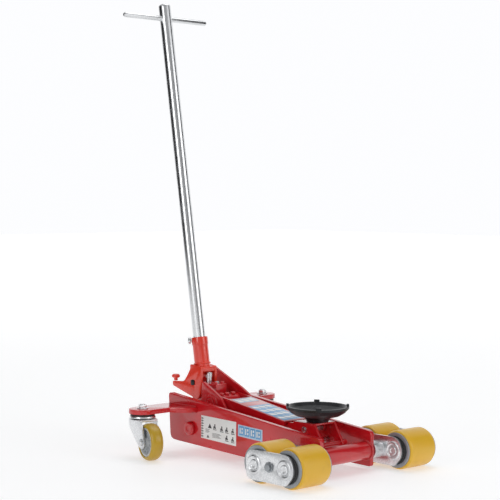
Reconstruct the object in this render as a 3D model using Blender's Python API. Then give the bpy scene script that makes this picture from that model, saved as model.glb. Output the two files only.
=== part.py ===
"""Low trolley jack on tandem rollers, modelled at rest with the arm down.

Metres, +Z up. The floor is Z = 0 and the jack is symmetric about Y = 0. +X points forward, to the
saddle and the tandem rollers; X = 0 is the rocking axis of the two roller bogies.
"""

import math

import bmesh
import bpy
from mathutils import Euler, Matrix

# Frame
PLATE_OUTER_Y = 0.082
PLATE_THICK = 0.010
PLATE_INNER_Y = PLATE_OUTER_Y - PLATE_THICK
GAP = 0.0003
CROSS_TUBE_R = 0.019
AXLE_Z = 0.041
WALL_INNER_Y = 0.040
WALL_THICK = 0.006
BASE_Z = 0.036
BASE_THICK = 0.008
ANCHOR = (-0.380, 0.058)

# Lift arm, its pivots and the parallel link
ARM_PIVOT = (-0.350, 0.115)
ARM_PIVOT_R = 0.010
ARM_FRONT = (-0.080, 0.086)
LINK_OFFSET = (0.012, -0.026)
HEEL_OFFSET = (0.010, -0.048)
ARM_HALF_WIDTH = 0.036
ARM_WALL = 0.005
TONGUE_OUTER_Y = 0.025
PIN_R = 0.006
RUNNING = 0.0004

# Saddle and its bracket
SADDLE_X = -0.072
SADDLE_RIM_Z = 0.1335
SADDLE_R = 0.0664
BRACKET_TOP_Z = 0.1005
BRACKET_HALF_WIDTH = 0.032

# Hydraulic unit
BLOCK_X = (-0.432, -0.376)
BLOCK_HALF = 0.030
TOWER_HALF = 0.016
TOWER_TOP = 0.150
RAM_Z = 0.067
RAM_R = 0.013

# Handle
YOKE_PIVOT = (-0.437, 0.149)
YOKE_OUTER_Y = 0.024
YOKE_WALL = 0.006
PLUNGER_X = -0.409
LEAN = math.radians(9.5)
HANDLE_FOOT = (-0.4317, 0.187)
HANDLE_R = 0.014
HANDLE_TOP = 0.831
TBAR_R = 0.006
TBAR_HALF = 0.125
TBAR_AT = 0.802
SOCKET_R = 0.0175

# Bogies
ROLLER_R = 0.041
ROLLER_X = 0.04235
ROLLER_Y = 0.1616
TREAD_HALF = 0.0405
CORE_HALF = 0.0440
LINK_PLATE_Y = 0.0495
LINK_PLATE_THICK = 0.006
ROLLER_AXLE_R = 0.010

# Casters
CASTER = (-0.4234, 0.1828)
OUTRIGGER_TOP_Z = 0.107
OUTRIGGER_THICK = 0.010
CASTER_WHEEL_R = 0.040
CASTER_TRAIL = 0.041
CASTER_TURN = math.radians(15)

FINE = 32
ROUND = 20
MEDIUM = 16
SMALL = 12

for leftover in list(bpy.data.objects):
    bpy.data.objects.remove(leftover)


# ---- tools -------------------------------------------------------------------------------------


def material(name, colour, roughness, metallic):
    made = bpy.data.materials.new(name)
    made.use_nodes = True
    shader = made.node_tree.nodes["Principled BSDF"]
    shader.inputs["Base Color"].default_value = (*colour, 1)
    shader.inputs["Roughness"].default_value = roughness
    shader.inputs["Metallic"].default_value = metallic
    return made


RED = material("red_enamel", (0.60, 0.015, 0.02), 0.25, 0.0)
ORANGE = material("orange_red_enamel", (0.70, 0.06, 0.02), 0.35, 0.0)
ZINC = material("zinc_plate", (0.62, 0.64, 0.66), 0.35, 1.0)
CHROME = material("chrome", (0.75, 0.76, 0.78), 0.08, 1.0)
STEEL = material("bright_steel", (0.55, 0.56, 0.58), 0.25, 1.0)
BLACK = material("black_iron", (0.02, 0.022, 0.024), 0.5, 0.3)
TREAD = material("yellow_polyurethane", (0.75, 0.42, 0.02), 0.35, 0.0)
GREY = material("grey_iron", (0.25, 0.26, 0.28), 0.45, 0.6)
SEAL = material("black_seal", (0.015, 0.015, 0.016), 0.6, 0.0)


def pivot(name, place):
    """An empty on a joint's axis. The pieces of a moving body are its children."""
    made = bpy.data.objects.new(name, None)
    bpy.context.scene.collection.objects.link(made)
    made.location = place
    return made


def finish(name, data, skin, place=(0, 0, 0), turn=(0, 0, 0), parent=None):
    """Adds an object at a place given in world coordinates."""
    made = bpy.data.objects.new(name, data)
    bpy.context.scene.collection.objects.link(made)
    data.materials.append(skin)
    made.location = place
    made.rotation_euler = Euler(turn)
    if parent:
        made.parent = parent
        made.matrix_parent_inverse = Matrix.Translation(parent.location).inverted()
    return made


def helper(obj):
    obj.hide_render = True
    obj.display_type = "WIRE"


def union(base, *others):
    """Joins other objects to base with live Booleans."""
    for other in others:
        join = base.modifiers.new("join_" + other.name, "BOOLEAN")
        join.operation = "UNION"
        join.object = other
        helper(other)
    return base


def arc(x, y, radius, start, end, steps=8):
    """Points on an arc, angles in degrees."""
    angles = [math.radians(start + (end - start) * i / steps) for i in range(steps + 1)]
    return [(x + radius * math.cos(a), y + radius * math.sin(a)) for a in angles]


def circle(x, y, radius, steps=MEDIUM):
    return arc(x, y, radius, 0, 360, steps)[:-1]


def rounded(corners, steps=4):
    """An outline from (x, y, corner radius) triples, each corner replaced by a smooth curve."""
    points = []
    for i, (x, y, radius) in enumerate(corners):
        if not radius:
            points.append((x, y))
            continue
        before, after = corners[i - 1], corners[(i + 1) % len(corners)]
        ends = []
        for other in (before, after):
            length = math.hypot(other[0] - x, other[1] - y)
            ends.append((x + (other[0] - x) * radius / length, y + (other[1] - y) * radius / length))
        for step in range(steps + 1):
            t = step / steps
            a, b, c = (1 - t) ** 2, 2 * t * (1 - t), t * t
            points.append(tuple(a * ends[0][k] + b * (x, y)[k] + c * ends[1][k] for k in (0, 1)))
    return points


FLAT = (0, 0, 0)
UPRIGHT = (math.pi / 2, 0, 0)
ALONG_X = (0, math.pi / 2, 0)


def face_outwards(made):
    bmesh.ops.recalc_face_normals(made, faces=made.faces)
    if made.calc_volume(signed=True) < 0:
        bmesh.ops.reverse_faces(made, faces=made.faces)


def plate(name, outline, thick, skin, place=(0, 0, 0), turn=FLAT, parent=None, holes=()):
    """A flat plate, centred on its own XY plane. UPRIGHT turns its outline into X and Z."""
    curve = bpy.data.curves.new(name, "CURVE")
    curve.dimensions = "2D"
    curve.fill_mode = "BOTH"
    curve.extrude = thick / 2
    for points in [outline, *holes]:
        spline = curve.splines.new("POLY")
        spline.points.add(len(points) - 1)
        for point, (x, y) in zip(spline.points, points):
            point.co = (x, y, 0, 1)
        spline.use_cyclic_u = True
    flat = finish(name + "_outline", curve, skin)
    mesh = bpy.data.meshes.new_from_object(flat)
    bpy.data.objects.remove(flat)
    made = bmesh.new()
    made.from_mesh(mesh)
    bmesh.ops.remove_doubles(made, verts=made.verts, dist=1e-6)
    face_outwards(made)
    made.to_mesh(mesh)
    made.free()
    mesh.materials.clear()
    return finish(name, mesh, skin, place, turn, parent)


def turned(name, profile, skin, place=(0, 0, 0), turn=FLAT, parent=None, steps=ROUND):
    """A turned piece about its own Z. The profile is (radius, height) pairs round its section."""
    made = bmesh.new()
    rings = []
    for radius, height in profile:
        if radius < 1e-9:
            rings.append([made.verts.new((0, 0, height))])
            continue
        angles = [2 * math.pi * i / steps for i in range(steps)]
        rings.append([made.verts.new((radius * math.cos(a), radius * math.sin(a), height)) for a in angles])
    hollow = all(len(ring) > 1 for ring in rings)
    pairs = list(zip(rings, rings[1:])) + ([(rings[-1], rings[0])] if hollow else [])
    for low, high in pairs:
        for i in range(steps):
            j = (i + 1) % steps
            corners = [low[i % len(low)], low[j % len(low)], high[j % len(high)], high[i % len(high)]]
            made.faces.new(list(dict.fromkeys(corners)))
    face_outwards(made)
    mesh = bpy.data.meshes.new(name)
    made.to_mesh(mesh)
    made.free()
    mesh.shade_smooth()
    mesh.set_sharp_from_angle(angle=math.radians(30))
    return finish(name, mesh, skin, place, turn, parent)


def rod(name, radius, half, skin, place, turn=UPRIGHT, parent=None, steps=ROUND, chamfer=0.001):
    profile = [(0, -half), (radius - chamfer, -half), (radius, chamfer - half)]
    profile += [(radius, half - chamfer), (radius - chamfer, half), (0, half)]
    return turned(name, profile, skin, place, turn, parent, steps)


def sleeve(name, outer, inner, half, skin, place, turn=UPRIGHT, parent=None, steps=ROUND):
    profile = [(inner, -half), (outer, -half), (outer, half), (inner, half)]
    return turned(name, profile, skin, place, turn, parent, steps)


def block(name, low, high, skin, parent=None):
    """A plain box between two corners."""
    (x0, y0, z0), (x1, y1, z1) = low, high
    corners = [(x0, y0), (x1, y0), (x1, y1), (x0, y1)]
    return plate(name, corners, z1 - z0, skin, (0, 0, (z0 + z1) / 2), FLAT, parent)


# ---- frame -------------------------------------------------------------------------------------


def side_plate(name, side):
    outline = rounded([
        (-0.4460, 0.028, 0.014), (-0.418, 0.0262, 0.006), (-0.030, 0.009, 0), (0.012, 0.008, 0.004),
        (0.013, 0.082, 0.010), (-0.020, 0.0860, 0), (-0.453, 0.1315, 0.009),
    ])
    holes = [circle(0, AXLE_Z, 0.0125), circle(*ANCHOR, 0.0093)]
    middle = side * (PLATE_OUTER_Y - PLATE_THICK / 2)
    return plate(name, outline, PLATE_THICK, RED, (0, middle, 0), UPRIGHT, holes=holes)


side_plate("side_plate_right", -1)
side_plate("side_plate_left", 1)

sleeve("front_cross_tube", CROSS_TUBE_R, 0.0125, PLATE_INNER_Y - GAP, RED, (0, 0, AXLE_Z))
rod("bogie_cross_shaft", 0.012, 0.1145, STEEL, (0, 0, AXLE_Z))

block(
    "base_plate", (-0.432, GAP - PLATE_INNER_Y, BASE_Z), (-0.250, PLATE_INNER_Y - GAP, BASE_Z + BASE_THICK),
    RED
)


def inner_wall(name, side, rear, rear_top):
    low = BASE_Z + BASE_THICK + GAP
    outline = rounded([
        (-0.412, low, 0), (-0.300, low, 0), (-0.300, 0.100, 0.012), (-0.322, 0.129, 0.006),
        (-0.345, 0.1415, 0), (rear, rear_top, 0.006), (rear - 0.002, 0.118, 0.004), (-0.412, 0.096, 0.006),
    ])
    holes = [circle(*ARM_PIVOT, ARM_PIVOT_R + GAP), circle(ANCHOR[0], ANCHOR[1], 0.0093)]
    middle = side * (WALL_INNER_Y + WALL_THICK / 2)
    wall = plate(name, outline, WALL_THICK, RED, (0, middle, 0), UPRIGHT, holes=holes)
    collar = sleeve(
        "pivot_collar_" + name, 0.0165, ARM_PIVOT_R + GAP, 0.003, RED,
        (ARM_PIVOT[0], side * (WALL_INNER_Y + WALL_THICK + 0.002), ARM_PIVOT[1]), steps=MEDIUM,
    )
    return union(wall, collar)


inner_wall("inner_wall_right", -1, -0.382, 0.160)
inner_wall("inner_wall_left", 1, -0.436, 0.181)

for side, word in ((-1, "right"), (1, "left")):
    bolt_end = PLATE_OUTER_Y - BLOCK_HALF - GAP
    turned(
        "anchor_bolt_" + word,
        [
            (0, -bolt_end), (0.008, -bolt_end), (0.009, 0.001 - bolt_end), (0.009, GAP), (0.016, GAP),
            (0.016, 0.005), (0.013, 0.008), (0, 0.008),
        ],
        RED, (ANCHOR[0], side * PLATE_OUTER_Y, ANCHOR[1]), (-side * math.pi / 2, 0, 0), steps=MEDIUM,
    )
rod(
    "arm_pivot_shaft", ARM_PIVOT_R, WALL_INNER_Y + WALL_THICK + 0.006, RED,
    (ARM_PIVOT[0], 0, ARM_PIVOT[1]), steps=MEDIUM,
)


def outrigger(name, side):
    """The arm that carries a caster: a thick flat bar, flared where it is welded to the frame."""
    x, y = CASTER
    root = PLATE_OUTER_Y + GAP
    tip = arc(x, side * y, 0.030, 0, side * 180, 12)
    outline = [(-0.356, side * root), *arc(-0.372, side * (root + 0.027), 0.016, -side * 20, side * 0, 2)[:1],
               (-0.3934, side * (root + 0.048)), *tip, (-0.4534, side * root)]
    holes = [circle(x, side * y, 0.0065, SMALL)]
    middle = OUTRIGGER_TOP_Z - OUTRIGGER_THICK / 2
    return plate(name, outline, OUTRIGGER_THICK, RED, (0, 0, middle), FLAT, holes=holes)


outrigger("outrigger_right", -1)
outrigger("outrigger_left", 1)

# ---- hydraulic unit ----------------------------------------------------------------------------

UNIT_BOTTOM = BASE_Z + BASE_THICK + GAP
LINK_ANCHOR = (ARM_PIVOT[0] + LINK_OFFSET[0], ARM_PIVOT[1] + LINK_OFFSET[1])

hydraulic_block = block(
    "hydraulic_block", (BLOCK_X[0], -BLOCK_HALF, UNIT_BOTTOM), (BLOCK_X[1], BLOCK_HALF, 0.099), RED
)
tower_outline = [
    (-0.447, 0.090), (BLOCK_X[1] - 0.001, 0.090), (-0.368, 0.131), (-0.368, TOWER_TOP), (-0.427, TOWER_TOP),
    *arc(*YOKE_PIVOT, 0.010, 20, 180),
]
tower = plate("tower_body", tower_outline, 2 * TOWER_HALF, RED, (0, 0, 0), UPRIGHT,
              holes=[circle(*YOKE_PIVOT, PIN_R + RUNNING, SMALL)])
anchor_lugs = []
for side in (-1, 1):
    lug_outline = [(BLOCK_X[1] - 0.003, 0.081), (-0.338, 0.081), *arc(*LINK_ANCHOR, 0.008, -90, 90),
                   (-0.345, 0.098), (BLOCK_X[1] - 0.003, 0.098)]
    anchor_lugs.append(plate(f"anchor_lug_{side}", lug_outline, 0.006, RED, (0, side * 0.0105, 0), UPRIGHT,
                             holes=[circle(*LINK_ANCHOR, 0.005 + RUNNING, SMALL)]))
union(hydraulic_block, tower, *anchor_lugs)

ram_bore = rod("ram_bore", RAM_R + RUNNING, 0.030, RED, (BLOCK_X[1] - 0.022, 0, RAM_Z), ALONG_X, chamfer=0)
plunger_bore = rod(
    "plunger_bore", 0.0074, 0.025, RED, (PLUNGER_X, 0, TOWER_TOP - 0.017), FLAT, steps=MEDIUM, chamfer=0
)
for cutter in (ram_bore, plunger_bore):
    helper(cutter)
    cut = hydraulic_block.modifiers.new("cut_" + cutter.name, "BOOLEAN")
    cut.operation = "DIFFERENCE"
    cut.object = cutter

sleeve("ram_gland", 0.0155, RAM_R + RUNNING, 0.0025, STEEL, (BLOCK_X[1] + 0.0028, 0, RAM_Z), ALONG_X)
turned(
    "release_valve",
    [(0, -0.012), (0.006, -0.012), (0.006, 0.004), (0.004, 0.006), (0.004, 0.012), (0, 0.012)], STEEL,
    (BLOCK_X[0] - 0.0123, 0, 0.070), (0, -math.pi / 2, 0), steps=SMALL,
)
turned(
    "filler_plug", [(0, 0), (0.0065, 0), (0.0065, 0.003), (0.0055, 0.004), (0, 0.004)], STEEL,
    (-0.387, 0.003, TOWER_TOP + GAP), steps=SMALL,
)

ram = pivot("ram_axis", (BLOCK_X[1], 0, RAM_Z))
rod("ram_rod", RAM_R, 0.032, CHROME, (-0.381, 0, RAM_Z), ALONG_X, ram)

plunger = pivot("plunger_axis", (PLUNGER_X, 0, TOWER_TOP))
rod("pump_plunger", 0.007, 0.019, STEEL, (PLUNGER_X, 0, 0.1545), FLAT, plunger, steps=MEDIUM)

# ---- lift arm ----------------------------------------------------------------------------------

HEEL = (ARM_PIVOT[0] + HEEL_OFFSET[0], ARM_PIVOT[1] + HEEL_OFFSET[1])
ARM_NOSE = (-0.134, 0.097)
WEB_REAR_X = -0.310
ARM_SLOPE = -0.163
WEB_THICK = 0.004


def arm_top(x):
    """Height of the arm's upper face above a point on its length."""
    return ARM_NOSE[1] + ARM_SLOPE * (x - ARM_NOSE[0])


lift = pivot("lift_arm_axis", (ARM_PIVOT[0], 0, ARM_PIVOT[1]))
flank_outline = [
    (ARM_NOSE[0], ARM_NOSE[1]), (WEB_REAR_X, arm_top(WEB_REAR_X)), *arc(*ARM_PIVOT, 0.0165, 75, 180, 10),
    *arc(*HEEL, 0.0115, 180, 330, 10), (-0.322, 0.090), (-0.300, 0.103), (ARM_NOSE[0], 0.081),
]
flanks = []
for side, word in ((-1, "right"), (1, "left")):
    flanks.append(plate(
        "arm_flank_" + word, flank_outline, ARM_WALL, RED, (0, side * (ARM_HALF_WIDTH - ARM_WALL / 2), 0),
        UPRIGHT,
        lift, holes=[circle(*ARM_PIVOT, ARM_PIVOT_R + RUNNING), circle(*HEEL, 0.0053, SMALL)],
    ))
web_outline = [
    (ARM_NOSE[0] + 0.0005, arm_top(ARM_NOSE[0])), (WEB_REAR_X, arm_top(WEB_REAR_X)),
    (WEB_REAR_X, arm_top(WEB_REAR_X) - WEB_THICK), (ARM_NOSE[0] + 0.0005, arm_top(ARM_NOSE[0]) - WEB_THICK),
]
lift_arm = plate("lift_arm", web_outline, 2 * ARM_HALF_WIDTH - 0.003, RED, (0, 0, 0), UPRIGHT, lift)
tongues = []
TONGUE_END_R = 0.0085
for side, word in ((-1, "right"), (1, "left")):
    tongue_outline = [
        (-0.200, arm_top(-0.200) - 0.002), (-0.200, 0.094), (-0.140, 0.077),
        *arc(*ARM_FRONT, TONGUE_END_R, -90, 90), (ARM_NOSE[0], arm_top(ARM_NOSE[0]) - 0.002),
    ]
    tongues.append(plate(
        "arm_tongue_" + word, tongue_outline, ARM_WALL, RED, (0, side * (TONGUE_OUTER_Y - ARM_WALL / 2), 0),
        UPRIGHT,
        lift, holes=[circle(*ARM_FRONT, PIN_R + RUNNING, SMALL)],
    ))
union(lift_arm, *flanks, *tongues)

heel_half = ARM_HALF_WIDTH - ARM_WALL - GAP
heel_end = ARM_HALF_WIDTH + 0.001
turned(
    "heel_bar",
    [
        (0, -heel_end), (0.005, -heel_end), (0.005, -heel_half), (0.008, -heel_half), (0.008, heel_half),
        (0.005, heel_half), (0.005, heel_end), (0, heel_end),
    ],
    STEEL, (HEEL[0], 0, HEEL[1]), UPRIGHT, lift, steps=MEDIUM,
)
rod(
    "arm_front_pin", PIN_R, BRACKET_HALF_WIDTH + 0.003, STEEL, (ARM_FRONT[0], 0, ARM_FRONT[1]), UPRIGHT, lift,
    steps=SMALL,
)

# ---- parallel link -----------------------------------------------------------------------------

LINK_FRONT = (ARM_FRONT[0] + LINK_OFFSET[0], ARM_FRONT[1] + LINK_OFFSET[1])
link = pivot("parallel_link_axis", (LINK_ANCHOR[0], 0, LINK_ANCHOR[1]))
along = math.degrees(math.atan2(LINK_FRONT[1] - LINK_ANCHOR[1], LINK_FRONT[0] - LINK_ANCHOR[0]))
link_outline = [
    *arc(*LINK_ANCHOR, 0.0078, along + 50, along + 310), *arc(*LINK_FRONT, 0.0095, along - 130, along + 130),
]
plate(
    "parallel_link", link_outline, 0.013, RED, (0, 0, 0), UPRIGHT, link,
    holes=[circle(*LINK_ANCHOR, 0.0053, SMALL), circle(*LINK_FRONT, 0.0064, SMALL)],
)
rod(
    "link_anchor_pin", 0.005, 0.0145, STEEL, (LINK_ANCHOR[0], 0, LINK_ANCHOR[1]), UPRIGHT, link, steps=SMALL,
    chamfer=0.0005,
)

# ---- saddle bracket ----------------------------------------------------------------------------

LOWER_BAR = (-0.035, 0.057)
BRACKET_WALL = 0.005
BRACKET_PLATE = 0.004
bracket = pivot("saddle_bracket_axis", (ARM_FRONT[0], 0, ARM_FRONT[1]))
saddle_bracket = block(
    "saddle_bracket", (-0.112, -BRACKET_HALF_WIDTH + 0.001, BRACKET_TOP_Z - BRACKET_PLATE),
    (-0.051, BRACKET_HALF_WIDTH - 0.001, BRACKET_TOP_Z), RED, bracket,
)
leg_outline = rounded([
    (-0.1115, BRACKET_TOP_Z, 0), (-0.1115, 0.084, 0.006), (-0.086, 0.050, 0.006), (-0.031, 0.047, 0.005),
    (-0.0235, 0.055, 0.004), (-0.0515, BRACKET_TOP_Z, 0),
])
legs = []
for side, word in ((-1, "right"), (1, "left")):
    legs.append(plate(
        "bracket_leg_" + word, leg_outline, BRACKET_WALL, RED,
        (0, side * (BRACKET_HALF_WIDTH - BRACKET_WALL / 2), 0), UPRIGHT, bracket,
        holes=[
            circle(*ARM_FRONT, PIN_R + RUNNING, SMALL), circle(*LINK_FRONT, PIN_R + GAP, SMALL),
        ],
    ))
cross_bar = rod(
    "bracket_cross_bar", PIN_R, 0.0415, RED, (LOWER_BAR[0], 0.0055, LOWER_BAR[1]), UPRIGHT, bracket,
    steps=SMALL
)
union(saddle_bracket, *legs, cross_bar)
stem_hole = rod(
    "saddle_stem_hole", 0.0084, 0.006, RED, (SADDLE_X, 0, BRACKET_TOP_Z - 0.002), FLAT, steps=MEDIUM,
    chamfer=0
)
helper(stem_hole)
bored = saddle_bracket.modifiers.new("stem_hole", "BOOLEAN")
bored.operation = "DIFFERENCE"
bored.object = stem_hole
rod(
    "link_front_pin", PIN_R, BRACKET_HALF_WIDTH + 0.002, STEEL, (LINK_FRONT[0], 0, LINK_FRONT[1]), UPRIGHT,
    bracket,
    steps=SMALL,
)

# ---- saddle ------------------------------------------------------------------------------------

NECK_Z = BRACKET_TOP_Z + GAP
FLOOR_Z = 0.1205
saddle_axis = pivot("saddle_axis", (SADDLE_X, 0, NECK_Z))
saddle = turned(
    "saddle",
    [
        (0, 0.0925), (0.008, 0.0925), (0.008, NECK_Z), (0.023, NECK_Z), (0.0245, 0.1055), (0.030, 0.1105),
        (0.047, 0.1140), (0.058, 0.1205), (0.0655, 0.1285), (SADDLE_R, SADDLE_RIM_Z - 0.001),
        (SADDLE_R - 0.001, SADDLE_RIM_Z), (0.0600, SADDLE_RIM_Z), (0.0555, 0.1265), (0.040, FLOOR_Z),
        (0, FLOOR_Z),
    ],
    BLACK, (SADDLE_X, 0, 0), FLAT, saddle_axis, steps=FINE,
)
lugs = []
for quarter in range(4):
    angle = math.radians(45 + 90 * quarter)
    lug = block(f"saddle_lug_{quarter}", (0.0605, -0.006, 0.128), (0.0661, 0.006, 0.1380), BLACK)
    lug.location.x = SADDLE_X
    lug.rotation_euler.z = angle
    lugs.append(lug)
union(saddle, *lugs)

# ---- handle yoke and handle --------------------------------------------------------------------

LEANING = (0, -LEAN, 0)


def on_handle(distance):
    """A point on the handle's centre line, so far above its foot."""
    return (HANDLE_FOOT[0] - distance * math.sin(LEAN), 0, HANDLE_FOOT[1] + distance * math.cos(LEAN))


yoke_axis = pivot("handle_yoke_axis", (YOKE_PIVOT[0], 0, YOKE_PIVOT[1]))
right_cheek = rounded([
    (-0.506, 0.1465, 0.003), (-0.506, 0.1365, 0.004), (-0.421, 0.1115, 0.006), (-0.411, 0.129, 0.006),
    (-0.4095, 0.158, 0.003), (-0.4095, 0.186, 0.004), (-0.4465, 0.190, 0.004),
    (-0.4465, 0.179, 0.004), (-0.458, 0.161, 0.006), (-0.468, 0.149, 0.006),
])
left_cheek = rounded([
    (-0.452, 0.137, 0.008), (-0.421, 0.1115, 0.008), (-0.411, 0.129, 0.006), (-0.4095, 0.158, 0.003),
    (-0.4095, 0.186, 0.004), (-0.4465, 0.190, 0.004), (-0.4465, 0.179, 0.004),
    (-0.458, 0.158, 0.006),
])
cheeks = []
for side, word, outline in ((-1, "right", right_cheek), (1, "left", left_cheek)):
    cheeks.append(plate(
        "yoke_cheek_" + word, outline, YOKE_WALL, ORANGE, (0, side * (YOKE_OUTER_Y - YOKE_WALL / 2), 0),
        UPRIGHT,
        yoke_axis, holes=[circle(*YOKE_PIVOT, PIN_R + GAP, SMALL)],
    ))
crown_outline = rounded([
    (-0.4460, 0.1890, 0.003), (-0.4460, 0.1700, 0.003), (-0.4190, 0.1660, 0.002), (-0.4180, 0.1745, 0),
    (-0.4100, 0.1745, 0.002), (-0.4100, 0.1855, 0.003),
])
crown = plate("yoke_crown", crown_outline, 2 * YOKE_OUTER_Y - 0.002, ORANGE, (0, 0, 0), UPRIGHT, yoke_axis)
SOCKET_LENGTH = 0.064
COLLAR_R = 0.0185
COLLAR_LENGTH = 0.017
BORE_R = HANDLE_R + RUNNING
handle_socket = turned(
    "handle_yoke",
    [
        (0, -0.008), (SOCKET_R, -0.008), (SOCKET_R, SOCKET_LENGTH - COLLAR_LENGTH - 0.001),
        (COLLAR_R, SOCKET_LENGTH - COLLAR_LENGTH), (COLLAR_R, SOCKET_LENGTH), (BORE_R, SOCKET_LENGTH),
        (BORE_R, 0.006), (0, 0.006),
    ],
    ORANGE, on_handle(0), LEANING, yoke_axis,
)
union(handle_socket, crown, *cheeks)
screw_hole = rod(
    "lock_screw_hole", 0.0044, 0.012, ORANGE, on_handle(SOCKET_LENGTH - COLLAR_LENGTH / 2), FLAT, steps=SMALL,
    chamfer=0,
)
SCREW_TURN = (0, -math.pi / 2, math.radians(42))
screw_away = Matrix.Rotation(SCREW_TURN[2], 3, "Z") @ Matrix.Rotation(SCREW_TURN[1], 3, "Y")
screw_direction = screw_away.col[2].copy()
screw_base = on_handle(SOCKET_LENGTH - COLLAR_LENGTH / 2)


def along_screw(distance):
    return tuple(screw_base[i] + screw_direction[i] * distance for i in range(3))


screw_hole.location = along_screw(0.0225)
screw_hole.rotation_euler = SCREW_TURN
helper(screw_hole)
tapped = handle_socket.modifiers.new("lock_screw_hole", "BOOLEAN")
tapped.operation = "DIFFERENCE"
tapped.object = screw_hole
turned(
    "lock_screw",
    [
        (0, HANDLE_R + 0.001), (0.004, HANDLE_R + 0.001), (0.004, 0.0205), (0.0085, 0.0205), (0.0085, 0.0245),
        (0.0065, 0.0265), (0, 0.0265),
    ],
    CHROME, screw_base, SCREW_TURN, yoke_axis, steps=MEDIUM,
)
rod(
    "yoke_pivot_pin", PIN_R, YOKE_OUTER_Y + 0.002, BLACK, (YOKE_PIVOT[0], 0, YOKE_PIVOT[1]), UPRIGHT,
    yoke_axis,
    steps=SMALL,
)
turned(
    "pedal_knob",
    [(0, 0), (0.0045, 0), (0.0045, 0.005), (0.0095, 0.0075), (0.0100, 0.0110), (0.0070, 0.0145), (0, 0.0155)],
    ORANGE, (-0.4985, 0.0030 - YOKE_OUTER_Y, 0.1480), FLAT, yoke_axis, steps=MEDIUM,
)

handle_axis = pivot("handle_axis", on_handle(0))
handle_tube = turned(
    "handle_tube",
    [
        (0, HANDLE_TOP - 0.0025), (0.0115, HANDLE_TOP - 0.0025), (0.0115, 0.0065), (HANDLE_R, 0.0065),
        (HANDLE_R, HANDLE_TOP), (0.0130, HANDLE_TOP + 0.003), (0.0090, HANDLE_TOP + 0.0055),
        (0, HANDLE_TOP + 0.0065),
    ],
    CHROME, on_handle(0), LEANING, handle_axis,
)
cross_hole = rod(
    "tbar_hole", TBAR_R + GAP, 0.03, CHROME, on_handle(TBAR_AT), UPRIGHT, steps=MEDIUM, chamfer=0
)
helper(cross_hole)
drilled = handle_tube.modifiers.new("tbar_hole", "BOOLEAN")
drilled.operation = "DIFFERENCE"
drilled.object = cross_hole
turned(
    "tbar",
    [
        (0, -TBAR_HALF), (TBAR_R * 0.6, 0.0008 - TBAR_HALF), (TBAR_R, 0.004 - TBAR_HALF),
        (TBAR_R, TBAR_HALF - 0.004),
        (TBAR_R * 0.6, TBAR_HALF - 0.0008), (0, TBAR_HALF),
    ],
    CHROME, on_handle(TBAR_AT), UPRIGHT, handle_axis, steps=MEDIUM,
)

# ---- roller bogies -----------------------------------------------------------------------------

for side, word in ((-1, "right"), (1, "left")):
    bogie = pivot(f"bogie_{word}_axis", (0, 0, AXLE_Z))
    link_outline = rounded([
        (-0.064, 0.013, 0.010), (-0.052, 0.010, 0), (0.046, 0.009, 0.006), (0.064, 0.028, 0.008),
        (0.066, 0.044, 0.008), (0.056, 0.066, 0.010), (0.040, 0.070, 0.006), (-0.054, 0.070, 0.010),
        (-0.066, 0.058, 0.010),
    ])
    axle_holes = [circle(x, AXLE_Z, ROLLER_AXLE_R + GAP) for x in (-ROLLER_X, ROLLER_X)]
    for reach, pivot_hole in (("inner", 0.0124), ("outer", 0.0054)):
        offset = side * (ROLLER_Y + (LINK_PLATE_Y if reach == "outer" else -LINK_PLATE_Y))
        link_plate = plate(
            f"bogie_{reach}_plate_{word}", link_outline, LINK_PLATE_THICK, ZINC, (0, offset, 0), UPRIGHT,
            bogie,
            holes=[*axle_holes, circle(0, AXLE_Z, pivot_hole)],
        )
        if reach == "inner":
            spacer_end = abs(offset) - LINK_PLATE_THICK / 2 + 0.001
            spacer_half = (spacer_end - PLATE_OUTER_Y - GAP) / 2
            hub = sleeve(
                f"bogie_hub_{word}", 0.0185, 0.0124, spacer_half, ZINC,
                (0, side * (spacer_end - spacer_half), AXLE_Z),
                UPRIGHT, bogie,
            )
            union(link_plate, hub)
    outer_face = ROLLER_Y + LINK_PLATE_Y + LINK_PLATE_THICK / 2
    bolt = turned(
        f"bogie_centre_bolt_{word}",
        [
            (0, -0.006), (0.005, -0.006), (0.005, GAP), (0.0105, GAP), (0.0105, 0.0017), (0.0082, 0.0019),
            (0.0082, 0.0060), (0.0070, 0.0068), (0, 0.0068),
        ],
        ZINC, (0, side * outer_face, AXLE_Z), (-side * math.pi / 2, 0, 0), bogie, steps=MEDIUM,
    )
    for x, place in ((-ROLLER_X, "rear"), (ROLLER_X, "front")):
        centre = (x, side * ROLLER_Y, AXLE_Z)
        rod(
            f"roller_axle_{place}_{word}", ROLLER_AXLE_R, LINK_PLATE_Y + LINK_PLATE_THICK / 2 + 0.0025,
            ZINC, centre,
            UPRIGHT, bogie, steps=MEDIUM,
        )
        roller = pivot(f"roller_{place}_{word}_axis", centre)
        sleeve(
            f"roller_core_{place}_{word}", 0.0330, ROLLER_AXLE_R + RUNNING, CORE_HALF, GREY, centre,
            UPRIGHT, roller
        )
        tread_profile = [
            (0.0333, -TREAD_HALF), (ROLLER_R - 0.0045, -TREAD_HALF), (ROLLER_R, 0.0045 - TREAD_HALF),
            (ROLLER_R, TREAD_HALF - 0.0045), (ROLLER_R - 0.0045, TREAD_HALF), (0.0333, TREAD_HALF),
        ]
        turned(f"roller_tread_{place}_{word}", tread_profile, TREAD, centre, UPRIGHT, roller, steps=FINE)

# ---- casters -----------------------------------------------------------------------------------

FORK_TOP_Z = 0.0860
FORK_THICK = 0.004
LEG_INNER = 0.0170
LEG_THICK = 0.004
WHEEL_HALF = 0.014

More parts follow.
